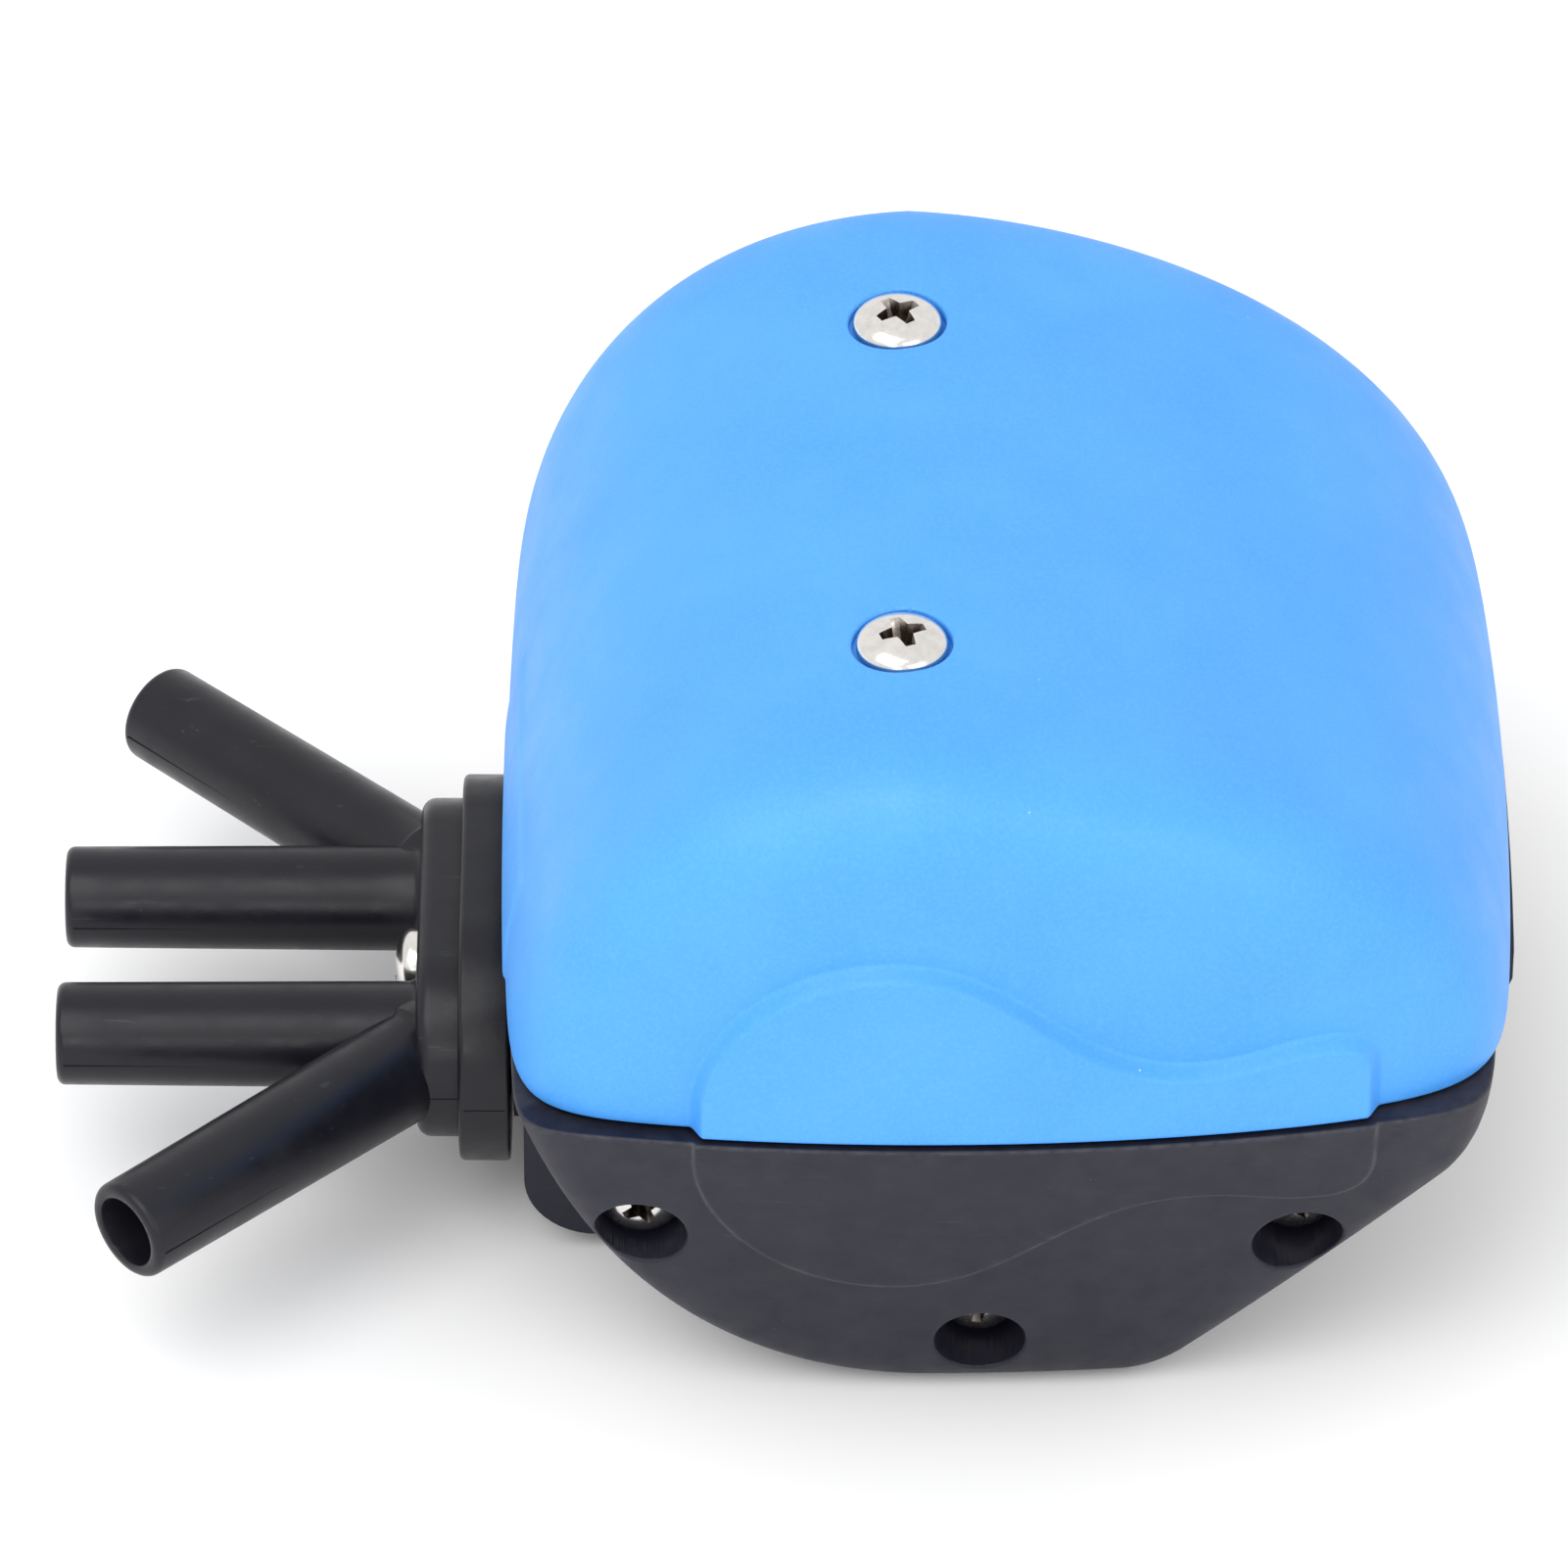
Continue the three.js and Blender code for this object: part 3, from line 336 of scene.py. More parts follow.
def blue_plastic():
    """Matte moulded plastic: fine spark-eroded grain, soft cloudiness, a few pale dust specks."""
    s = Shader("blue_plastic", Roughness=0.5)
    cloud = s.band(s.noise(14, 4), 0.3, 0.7)
    grain = s.noise(0.35, 2)
    color = s.mix(cloud, (0.053, 0.315, 0.84), (0.066, 0.345, 0.90))
    color = s.mix(s.band(grain, 0.42, 0.75, 0.0, 0.20), color, (0.17, 0.46, 0.98))
    dust = s.math("MULTIPLY", s.specks(4.2, 0.030), s.band(s.noise(9, 2), 0.5, 0.62))
    color = s.mix(s.math("MULTIPLY", dust, 0.5), color, (0.75, 0.85, 0.95))
    s.color(color)
    s.roughness(s.band(s.noise(5, 4), 0.3, 0.7, 0.44, 0.56))
    s.bump((grain, 0.012), (s.noise(0.9, 3), 0.010))
    return s.material


def black_plastic(name, base, pale, rough, scuffed, gloss):
    """Moulded black plastic with fine grain, blotchy gloss, thin scuffs, pale wear specks and paler rim and
    panel edges that are part wear and part painted highlight.
    """
    s = Shader(name, Specular_IOR_Level=gloss)
    cloud = s.band(s.noise(8, 5), 0.3, 0.7)
    grain = s.noise(0.3, 3)
    color = s.mix(cloud, base, tuple(1.35 * c for c in base))
    scuffs = s.band(s.noise(0.5, 4, 0.6, (0.09, 0.5, 1.0)), 0.66, 0.74, 0.0, scuffed)
    color = s.mix(scuffs, color, pale)
    dots = s.math("MULTIPLY", s.specks(1.5, 0.045), s.band(s.noise(6, 3), 0.52, 0.66))
    color = s.mix(s.math("MULTIPLY", dots, 0.6), color, tuple(2.2 * c for c in pale))
    # paler band at the rim and along the panel outline: part rubbed wear, part painted highlight
    wear_and_highlight = s.tree.nodes.new("ShaderNodeAttribute")
    wear_and_highlight.attribute_name = "edge_wear_and_highlight"
    rubbed_and_highlit = s.math("MULTIPLY", wear_and_highlight.outputs["Fac"], s.band(s.noise(1.2, 3), 0.35, 0.6, 0.25, 1.0))
    color = s.mix(rubbed_and_highlit, color, tuple(1.7 * c for c in pale))
    s.color(color)
    s.roughness(s.band(s.noise(3, 5), 0.3, 0.7, rough - 0.07, rough + 0.08))
    s.bump((grain, 0.010), (s.noise(1.6, 4), 0.012), (scuffs, 0.008))
    return s.material


def metal(name, base, rough, stretch=(1, 1, 1)):
    """Turned metal: fine streaks, uneven polish, slight tarnish and painted shade in the screw heads' cross
    recess.
    """
    s = Shader(name, Metallic=1.0)
    tarnish = s.band(s.noise(0.9, 5), 0.35, 0.75)
    color = s.mix(tarnish, base, tuple(0.84 * c for c in base))
    # the pit attribute darkens the cross recess towards a dark brown: painted shade
    pit = s.tree.nodes.new("ShaderNodeAttribute")
    pit.attribute_name = "pit"
    s.color(s.mix(pit.outputs["Fac"], color, (0.20, 0.17, 0.15)))
    s.roughness(s.band(s.noise(0.4, 4, 0.6, stretch), 0.3, 0.7, rough - 0.05, rough + 0.07))
    s.bump((s.noise(0.25, 3, 0.6, stretch), 0.0012), (s.noise(2.4, 2), 0.002))
    return s.material


def white_plastic():
    """Natural low-friction plastic with a waxy surface and faint machining marks."""
    s = Shader("white_plastic", Subsurface_Weight=0.08)
    s.color(s.mix(s.band(s.noise(5, 4), 0.3, 0.7), (0.78, 0.77, 0.72), (0.70, 0.68, 0.61)))
    s.roughness(s.band(s.noise(1.2, 4), 0.3, 0.7, 0.34, 0.48))
    s.bump((s.noise(0.3, 3, 0.6, (1, 6, 1)), 0.006), (s.noise(2, 2), 0.01))
    return s.material


def rubber():
    """Black moulded rubber, dull and slightly dusty."""
    s = Shader("rubber")
    s.color(s.mix(s.band(s.noise(4, 5), 0.35, 0.7), (0.012, 0.012, 0.014), (0.030, 0.030, 0.032)))
    s.roughness(s.band(s.noise(1.1, 4), 0.3, 0.7, 0.62, 0.80))
    s.bump((s.noise(0.25, 3), 0.012), (s.noise(1.5, 3), 0.02))
    return s.material


def foam():
    """Open-cell filter foam."""
    s = Shader("foam", Roughness=0.95)
    cells = s.node("ShaderNodeTexVoronoi", Vector=s.place(), Scale=1 / (0.8 * MM)).outputs["Distance"]
    s.color(s.mix(s.band(cells, 0.1, 0.55), (0.010, 0.011, 0.012), (0.075, 0.080, 0.085)))
    s.bump((cells, 0.35), (s.noise(0.4, 3), 0.05))
    return s.material


BLUE = blue_plastic()
BLACK = black_plastic("black_plastic", (0.0095, 0.0095, 0.0185), (0.075, 0.075, 0.085), 0.50, 0.22, 0.33)
NOZZLE_BLACK = black_plastic("nozzle_plastic", (0.006, 0.006, 0.0095), (0.06, 0.06, 0.07), 0.34, 0.36, 0.33)
STEEL = metal("stainless_steel", (0.82, 0.79, 0.76), 0.17)
BRASS = metal("brass", (0.66, 0.47, 0.17), 0.28)
WHITE = white_plastic()
RUBBER = rubber()
FOAM = foam()


# ---------- outer forms ----------
def hood_section():
    """The hood's outline seen from the front, from the right rim over the peak to the left rim."""
    left, right, peak = HOOD["left"], HOOD["right"], HOOD["peak"]
    rise = cubic((right, RIM_Z), (right, 63.4), (6.8, peak - 0.7), (HEART_X, peak), 64)
    fall = cubic((HEART_X, peak), (-32.1, peak - 1.5), (left, 52.4), (left, RIM_Z), 56)
    return np.vstack([rise, fall[1:]])


def lower_section():
    """The shells' outline seen from the front, from the left rim round the bottom to the right rim."""
    left, right = SHELL["left"], SHELL["right"]
    flank = cubic((left, RIM_Z), (-40, 21.5), (-30.2, 0.6), (FLAT_LEFT, 0), 60)
    corner = quadratic((FLAT_RIGHT - 3, 0), (FLAT_RIGHT, 0), (FLAT_RIGHT + 2.6, 2.2), 12)
    rise = quadratic(SLANT_END, (43.4, 28), (right, RIM_Z), 16)
    floor = np.linspace(flank[-1], corner[0], 15)[1:-1]
    slant = np.linspace(corner[-1], rise[0], 30)[1:-1]
    return np.vstack([flank, floor, corner, slant, rise])


def station(v, exponent):
    """Shrink of the section and share of the half depth, crowded towards the rounded corner."""
    walk = abs(2 * v - 1) * 2 - 1
    eased = 1 + math.copysign(abs(walk) ** 1.5, walk)
    across, deep = min(1.0, 2 - eased), min(1.0, eased)
    length = (across ** exponent + deep ** exponent) ** (1 / exponent)
    return across / length, math.copysign(deep / length, 0.5 - v)


def on_form(form, dx, dz, shrink, depth, grow=0.0):
    reach = math.hypot(dx, dz)
    out = dx * shrink * (reach + grow) / reach
    up = dz * shrink * (reach + grow) / reach
    y = -depth * (form["half"] + grow - form["lean"] * abs(up) - FRONT_BOW * out ** 2)
    side = math.copysign(SIDE_BOW * y ** 2 * (out / BOW_REACH) ** 2, out)
    return Vector((HEART_X + out - side, y, RIM_Z + up))


def form_solid(form, section, stations, rim_z, rim_round, grow=0.0, fade=4.0):
    """A closed bmesh of one outer form, with a rounded rim and a flat face at rim_z."""
    up = 1 if section[len(section) // 2][1] > RIM_Z else -1
    bm = bmesh.new()
    offsets = [(x - HEART_X, z - RIM_Z) for x, z in section]
    rows = []
    for k in range(stations + 1):
        shrink, depth = station(k / stations, form["n"])
        row = []
        for dx, dz in offsets:
            point = on_form(form, dx, dz, shrink, depth, grow)
            near_rim = math.exp(-abs(point.z - RIM_Z) / fade)
            point.z += near_rim * (rim_z - RIM_Z + up * rim_round)
            row.append(bm.verts.new(point))
        rows.append(row)
    for low, high in zip(rows, rows[1:]):
        for i in range(len(offsets) - 1):
            bm.faces.new((low[i], low[i + 1], high[i + 1], high[i]))
    ring = [(k, 0) for k in range(stations + 1)] + [(k, -1) for k in range(stations - 1, 0, -1)]
    before = [rows[k][end] for k, end in ring]
    for step in range(1, 4):
        turn = math.radians(30 * step)
        inset, z = rim_round * (1 - math.cos(turn)), rim_z + up * rim_round * (1 - math.sin(turn))
        after = []
        for k, end in ring:
            shrink, depth = station(k / stations, form["n"])
            point = on_form(form, *offsets[end], shrink, depth, grow - inset)
            after.append(bm.verts.new((point.x, point.y, z)))
        for i in range(len(ring)):
            j = (i + 1) % len(ring)
            bm.faces.new((before[i], before[j], after[j], after[i]))
        before = after
    bm.faces.new(before)
    bmesh.ops.remove_doubles(bm, verts=bm.verts, dist=1e-4)
    return bm


def panel_outline(side):
    """The wavy panel's outline about the rim; side is +1 above it and -1 below it."""
    left, at_peak, at_dip, at_hump, right, below = -27.4, -10.0, 15.9, 27.3, 31.8, -3.0
    shape = UPPER_PANEL if side > 0 else LOWER_PANEL
    rise, peak, dip, hump, corner = shape.values()
    curve = np.vstack([
        [(left, below)],
        cubic((left, 3), (-27.2, rise), (-20.5, peak), (at_peak, peak), 48),
        cubic((at_peak, peak), (1, peak), (4.5, dip), (at_dip, dip), 56),
        cubic((at_dip, dip), (21, dip), (22.5, hump), (at_hump, hump), 32),
        quadratic((at_hump, hump), (right, hump), (right, corner), 20),
        [(right, below)],
    ])
    curve[:, 1] = RIM_Z + side * curve[:, 1]
    return curve


def depth_inside(points, outline):
    """Distance of each (u, v) point from a closed outline, positive inside it."""
    a, b = outline, np.roll(outline, -1, axis=0)
    edge = b - a
    length2 = np.maximum((edge ** 2).sum(1), 1e-12)
    best = np.full(len(points), 1e9)
    inside = np.zeros(len(points), bool)
    for (ax, ay), (bx, by), (ex, ey), l2 in zip(a, b, edge, length2):
        t = np.clip(((points[:, 0] - ax) * ex + (points[:, 1] - ay) * ey) / l2, 0, 1)
        best = np.minimum(best, np.hypot(points[:, 0] - ax - t * ex, points[:, 1] - ay - t * ey))
        crosses = (ay > points[:, 1]) != (by > points[:, 1])
        if by != ay:
            inside ^= crosses & (points[:, 0] < (bx - ax) * (points[:, 1] - ay) / (by - ay) + ax)
    return np.where(inside, best, -best)


def positions(bm):
    return np.array([v.co for v in bm.verts], float)


def refine(bm, distance, widths):
    """Halves the edges that lie within each width of a feature; distance takes an array of points."""
    for width in widths:
        edges = list(bm.edges)
        ends = np.array([[*e.verts[0].co, *e.verts[1].co] for e in edges], float)
        near = np.abs(distance((ends[:, :3] + ends[:, 3:]) / 2)) < width
        chosen = [e for e, hit in zip(edges, near) if hit]
        bmesh.ops.subdivide_edges(bm, edges=chosen, cuts=1, use_grid_fill=True)


def shift(bm, offsets):
    for v, (x, y, z) in zip(bm.verts, offsets):
        v.co.x += x
        v.co.y += y
        v.co.z += z


def raised(inside, width):
    """0 outside an outline, rising smoothly from it and reaching 1 at width inside."""
    t = np.clip(inside / width, 0, 1)
    return t * t * (3 - 2 * t)


def softened(distance, radius):
    """How far a hole's mouth dips, at a distance from its wall, for a rounded edge of that radius."""
    t = np.clip(distance, 0, radius)
    return radius - np.sqrt(np.maximum(radius ** 2 - (radius - t) ** 2, 0))


# ---------- hood ----------
def hood():
    """The blue hood: wavy panels on its faces, a thin pad on its left flank and two screw recesses."""
    bm = form_solid(HOOD, hood_section(), STATIONS, RIM_Z, 0.35)
    outline = panel_outline(1)
    screws = [(COVER_SCREW_X, side * COVER_SCREW_Y) for side in (-1, 1)]
    left_of, above = -36, 60

    def to_panel(p):
        return np.where(np.abs(p[:, 1]) > HOOD_FACE_Y, depth_inside(p[:, [0, 2]], outline), FAR)

    def to_pad(p):
        along = np.minimum(p[:, 1] - PAD["front"], PAD["back"] - p[:, 1])
        return np.where(p[:, 0] < left_of, np.minimum(along, PAD["top"] - p[:, 2]), FAR)

    def to_recess(p):
        gaps = [np.hypot(p[:, 0] - x, p[:, 1] - y) - COVER_RECESS_R for x, y in screws]
        return np.where(p[:, 2] > above, np.minimum(*gaps), FAR)

    refine(bm, to_panel, (2.8, 2.0, 1.5, 1.1))
    refine(bm, to_pad, (1.8, 1.0))
    refine(bm, to_recess, (1.6, 0.9, 0.5, 0.4))
    p = positions(bm)
    offsets = np.zeros_like(p)
    face = np.abs(p[:, 1]) > HOOD_FACE_Y
    offsets[:, 0] = -PAD["proud"] * raised(to_pad(p) * (p[:, 0] < left_of), 0.9)
    offsets[:, 1] = np.sign(p[:, 1]) * PANEL_PROUD * raised((to_panel(p) + 0.25) * face, 1.3)
    offsets[:, 2] = -softened(to_recess(p), COVER_RECESS_EDGE_R)
    shift(bm, offsets)
    obj = as_object(bm, "hood")
    inside = form_solid(HOOD, hood_section()[::4], 40, RIM_Z - 3, 0.01, -HOOD_WALL)
    steps = [("DIFFERENCE", as_object(inside, "inside"))]
    for x, y in screws:
        steps.append(("UNION", rod("z", x, y, COVER_BOSS["radius"], COVER_BOSS["low"], COVER_SEAT_Z)))
        steps.append(("DIFFERENCE", rod("z", x, y, COVER_RECESS_R, COVER_SEAT_Z, ABOVE, 120)))
        steps.append(("DIFFERENCE", rod("z", x, y, M4_HOLE_R, above, ABOVE)))
    carve(obj, steps)
    return piece(obj, "hood", BLUE, "housing", ["cover"])


# ---------- front and back shells ----------
def shell(side, end):
    """One black half shell, with its dome, screw bosses, diaphragm chamber and counterbored screw holes."""
    bm = form_solid(SHELL, lower_section(), STATIONS, RIM_Z - GAP, 0.25)
    outline = panel_outline(-1)
    other_half = [v for v in bm.verts if v.co.y * side < MATING_Y - 4]
    bmesh.ops.delete(bm, geom=other_half, context="VERTS")
    bmesh.ops.holes_fill(bm, edges=[e for e in bm.edges if e.is_boundary])

    def to_panel(p):
        return np.where(np.abs(p[:, 1]) > SHELL_FACE_Y, depth_inside(p[:, [0, 2]], outline), FAR)

    def to_hole(p):
        gaps = [np.hypot(p[:, 0] - x, p[:, 2] - z) for x, z, _ in LOWER_SCREWS.values()]
        return np.where(np.abs(p[:, 1]) > MATING_Y + 2, np.minimum.reduce(gaps) - COUNTERBORE_R, FAR)

    refine(bm, to_panel, (1.4, 0.9, 0.5))
    refine(bm, to_hole, (1.4, 0.9, 0.6))
    p = positions(bm)
    offsets = np.zeros_like(p)
    face = np.abs(p[:, 1]) > SHELL_FACE_Y
    offsets[:, 1] = np.sign(p[:, 1]) * LOWER_PANEL_PROUD * raised(to_panel(p) * face, 0.45)
    offsets[:, 1] -= np.sign(p[:, 1]) * softened(to_hole(p), COUNTERBORE_EDGE_R)
    shift(bm, offsets)
    obj = as_object(bm, "shell")

    def span(a, b):
        return sorted((side * a, side * b))

    def side_box(x0, x1, a, b, z0, z1):
        return box(x0, x1, *span(a, b), z0, z1)

    dome = carve(rod("y", AXIS_X, AXIS_Z, DOME["radius"], *span(MATING_Y, DOME["end"]), 120),
                 [("INTERSECT", box(-ASIDE, ASIDE, -ASIDE, ASIDE, RIM_Z - 1, ABOVE))])
    steps = [("INTERSECT", side_box(-ASIDE, ASIDE, MATING_Y, ASIDE, -1, ASIDE)), ("UNION", dome)]
    for x, z, seat in UPPER_SCREWS.values():
        steps.append(("UNION", rod("y", x, z, UPPER_BOSS_R, *span(MATING_Y, seat))))
        low, high = sorted((x, AXIS_X))
        steps.append(("UNION", side_box(low, high, MATING_Y, seat - 3, z - 2, z + 2)))
    screw_y = side * COVER_SCREW_Y
    post = carve(rod("z", COVER_SCREW_X, screw_y + side, POST["radius"], POST["low"], POST["top"]),
                 [("INTERSECT", side_box(-ASIDE, ASIDE, MATING_Y, ASIDE, 0, ABOVE))])
    steps.append(("UNION", post))
    for bore in (CHAMBER, BEAD_SEAT):
        cut = rod("y", AXIS_X, AXIS_Z, bore["radius"], *span(MATING_Y - 1, bore["end"]), 120)
        steps.append(("DIFFERENCE", cut))
    for x, z, seat in SHELL_SCREWS.values():
        steps.append(("DIFFERENCE", rod("y", x, z, SHELL_HOLE_R, *span(MATING_Y - 1, seat + 1), 32)))
        steps.append(("DIFFERENCE", rod("y", x, z, COUNTERBORE_R, *span(seat, ASIDE), 96)))
    steps.append(("DIFFERENCE", rod("z", COVER_SCREW_X, screw_y, M4_HOLE_R, POST["hole_end"], ABOVE, 32)))
    carve(obj, steps)
    add_wear_and_highlight(obj, outline)
    return piece(obj, f"half_shell_{end}", BLACK, "housing", [f"shell_{end}"])


def add_wear_and_highlight(obj, outline):
    """Marks the edges that the material paints paler, part rubbed wear and part painted highlight: the rim
    and the panel's outline.
    """
    count = len(obj.data.vertices)
    flat = np.zeros(count * 3)
    obj.data.vertices.foreach_get("co", flat)
    p = flat.reshape(-1, 3)
    # pale line along the panel's outline: part wear, part painted highlight on the step's edge
    line = np.exp(-((depth_inside(p[:, [0, 2]], outline) - 0.12) / 0.13) ** 2)
    line = 0.42 * line * (np.abs(p[:, 1]) > SHELL_FACE_Y)
    # pale band along the rim's rounded edge: part wear, part painted highlight
    rim = np.exp(-((RIM_Z - GAP - p[:, 2] - 0.15) / 0.14) ** 2)
    rim = 0.3 * rim * (np.abs(p[:, 1]) > 26)
    wear_and_highlight = obj.data.attributes.new("edge_wear_and_highlight", "FLOAT", "POINT")
    wear_and_highlight.data.foreach_set("value", np.maximum(line, rim).astype(np.float32))


# ---------- hose manifold ----------
def stadium(half, radius, x, count=32):
    reach = half - radius
    points = []
    for centre, start in ((reach, -90), (-reach, 90)):
        for i in range(count + 1):
            a = math.radians(start + 180 * i / count)
            points.append((x, centre + radius * math.cos(a), MANIFOLD_Z + radius * math.sin(a)))
    return points


def stadium_plate(half, radius, x0, x1, near_round, far_round, steps=5):
    """A plate between x0 and x1 with both outer edges rounded."""
    loops = []
    for i in range(steps + 1):
        a = math.radians(90 * i / steps)
        inset = near_round * (1 - math.sin(a))
        loops.append(stadium(half - inset, radius - inset, x0 + near_round * (1 - math.cos(a))))
    for i in range(steps + 1):
        a = math.radians(90 * i / steps)
        inset = far_round * (1 - math.cos(a))
        loops.append(stadium(half - inset, radius - inset, x1 - far_round * (1 - math.sin(a))))
    return loft(loops)


def nozzle_tools(root, tip):
    """The outside, the bore and the parting ridge of one nozzle, from its root to its tip."""
    length = (tip - root).length
    tip_r, root_r, bore, lip = NOZZLE.values()
    collar = 0.75
    profile = [(0, -2), (root_r + 0.5, -2), (root_r + 0.5, 0.0), (root_r + 0.16, 0.28), (root_r, collar)]
    for i in range(1, 8):
        profile.append((root_r + (tip_r - root_r) * i / 8, collar + (length - lip - collar) * i / 8))
    for i in range(6):
        a = math.radians(90 * i / 5)
        profile.append((tip_r - lip * (1 - math.cos(a)), length - lip * (1 - math.sin(a))))
    profile.append((0, length))
    outside = turned(profile, 96)
    mouth = [(0, -4), (bore, -4), (bore, length - 0.3), (bore + 0.08, length - 0.1),
             (bore + 0.3, length), (bore + 0.3, length + 2), (0, length + 2)]
    hollow = turned(mouth, 72)
    ridge = box(-0.06, 0.06, -tip_r - 0.09, tip_r + 0.09, -1, length - lip)
    turn = (tip - root).to_track_quat("Z", "Y").to_matrix().to_4x4()
    place = Matrix.Translation(root) @ turn
    for obj in (outside, hollow):
        obj.data.transform(place)
    flat = Matrix.Translation(root) @ Matrix.Rotation(math.atan2((tip - root).y, (tip - root).x), 4, "Z")
    lie = Matrix(((0, 0, 1, 0), (0, 1, 0, 0), (1, 0, 0, 0), (0, 0, 0, 1)))
    ridge.data.transform(flat @ lie)
    return outside, hollow, ridge


def manifold():
    """The stepped flange with two straight and two splayed nozzles and a slot for each pair."""
    plate = stadium_plate(FLANGE["half"], FLANGE["radius"], OUTER_FACE, STEP_FACE + 1, 1.3, 0.05)
    base = stadium_plate(BASE["half"], BASE["radius"], STEP_FACE, INNER_FACE, 0.55, 0.35)
    steps = [("UNION", base)]
    hollows = []
    splayed_x, splayed_y = SPLAYED_TIP
    for side in (-1, 1):
        for root_y, tip_x, tip_y in ((STRAIGHT_Y, STRAIGHT_TIP_X, STRAIGHT_Y),
                                     (SPLAYED_ROOT_Y, splayed_x, splayed_y)):
            root = Vector((OUTER_FACE, side * root_y, MANIFOLD_Z))
            tip = Vector((tip_x, side * tip_y, MANIFOLD_Z))
            outside, hollow, ridge = nozzle_tools(root, tip)
            steps += [("UNION", outside), ("UNION", ridge)]
            hollows.append(("DIFFERENCE", hollow))
    z0, z1 = MANIFOLD_Z - PARTING_LINE, MANIFOLD_Z + PARTING_LINE
    for form, x0, x1 in ((FLANGE, OUTER_FACE + 1.3, STEP_FACE), (BASE, STEP_FACE + 0.5, INNER_FACE - 0.4)):
        reach = form["half"] + PARTING_LINE
        steps.append(("UNION", box(x0, x1, -reach, reach, z0, z1)))
    x0, x1, radius = OUTER_FACE + 2, INNER_FACE + 1, CHANNEL["radius"]
    for side in (-1, 1):
        low, high = sorted((side * STRAIGHT_Y, side * CHANNEL["outer_y"]))
        for y in (low, high):
            hollows.append(("DIFFERENCE", rod("x", y, MANIFOLD_Z, radius, x0, x1)))
        between = box(x0, x1, low, high, MANIFOLD_Z - radius + 0.01, MANIFOLD_Z + radius - 0.01)
        hollows.append(("DIFFERENCE", between))
    screw_hole = rod("x", 0, MANIFOLD_Z, M4_HOLE_R, OUTER_FACE - 5, INNER_FACE + 5, 32)
    hollows.append(("DIFFERENCE", screw_hole))
    carve(plate, steps + hollows)
    return piece(plate, "hose_manifold", NOZZLE_BLACK, "housing", ["manifold"])


# ---------- screws ----------
def crown(share):
    """Height of a pan head, as a share of the whole, at a share of its radius."""
    out = max(0.0, share - HEAD_FLAT) / (1 - HEAD_FLAT)
    return HEAD_EDGE + (1 - HEAD_EDGE) * math.sqrt(max(0.0, 1 - out ** 2))


def cross_tool(arm, wing, floor, top):
    """A cross recess: four tapering wings that meet in a small square pit."""
    def plus(a, w, z):
        ring = []
        for quarter in range(4):
            turn = Matrix.Rotation(math.radians(90 * quarter), 2)
            for u, v in ((a, -w), (a, w), (w * 1.55, w * 1.55)):
                x, y = turn @ Vector((u, v))
                ring.append((x, y, z))
        return ring
    halfway = floor + 0.45 * (top - floor)
    return loft([plus(arm * 0.42, wing * 0.55, floor), plus(arm * 0.8, wing * 0.85, halfway),
                 plus(arm, wing, top), plus(arm, wing, top + 2)])


def pan_screw(name, size, length, place, sides=96):
    """A pan-head screw with a cross recess, drawn head up on its seat at the origin."""
    head_r, head_h, shank_r = size
    core_r = 0.80 * shank_r
    profile = [(0, -length), (0.35 * shank_r, -length)]
    turns = max(3, int((length - 1.5) / 0.7))
    pitch = (length - 1.5) / turns
    for i in range(turns):
        low = -length + 0.6 + i * pitch
        profile += [(core_r, low), (shank_r, low + 0.42 * pitch), (shank_r, low + 0.55 * pitch)]
    profile += [(core_r, -0.7), (shank_r, -0.35), (shank_r, 0)]
    profile += [(head_r - 0.18, 0), (head_r, 0.18)]
    for i in range(11):
        a = math.radians(90 * i / 10)
        share = HEAD_FLAT + (1 - HEAD_FLAT) * math.cos(a)
        profile.append((head_r * share, head_h * (HEAD_EDGE + (1 - HEAD_EDGE) * math.sin(a))))
    profile.append((0, head_h))
    obj = turned(profile, sides)
    pit = cross_tool(0.52 * head_r, 0.115 * head_r, 0.12 * head_h, 1.02 * head_h)
    carve(obj, [("DIFFERENCE", pit)])
    mark_recess_shade(obj, head_r, head_h)
    return piece(obj, f"{name}_metal", STEEL, "housing", [name], 38, place)


def mark_recess_shade(obj, head_r, head_h):
    """Marks how far each point lies below the head's crown, for the material to darken the cross recess with
    painted shade.
    """
    shade_amounts = []
    for v in obj.data.vertices:
        share = math.hypot(v.co.x, v.co.y) / head_r
        depth = (head_h * crown(share) - v.co.z) / (0.4 * head_h)
        on_head = share < 0.6 and v.co.z > 0
        shade_amounts.append(min(1.0, max(0.0, depth)) if on_head else 0.0)
    obj.data.attributes.new("pit", "FLOAT", "POINT").data.foreach_set("value", shade_amounts)


def screws():
    for end, side, turn in (("front", -1, 0.35), ("back", 1, 0.6)):
        place = Matrix.Translation((COVER_SCREW_X, side * COVER_SCREW_Y, COVER_SEAT_Z))
        place = place @ Matrix.Rotation(turn, 4, "Z")
        pan_screw(f"cover_screw_{end}", COVER_SCREW, COVER_SCREW_LENGTH, place)
        for i, (spot, (x, z, seat)) in enumerate(SHELL_SCREWS.items()):
            out = Matrix.Rotation(-side * math.pi / 2, 4, "X")
            spin = Matrix.Rotation(0.55 + 0.9 * i, 4, "Z")
            place = Matrix.Translation((x, side * seat, z)) @ out @ spin
            pan_screw(f"shell_screw_{end}_{spot}", SHELL_SCREW, seat - SHELL_SCREW_END, place, 64)
    place = Matrix.Translation((OUTER_FACE, 0, MANIFOLD_Z)) @ Matrix.Rotation(-math.pi / 2, 4, "Y")
    pan_screw("manifold_screw", MANIFOLD_SCREW, MANIFOLD_SCREW_LENGTH, place)


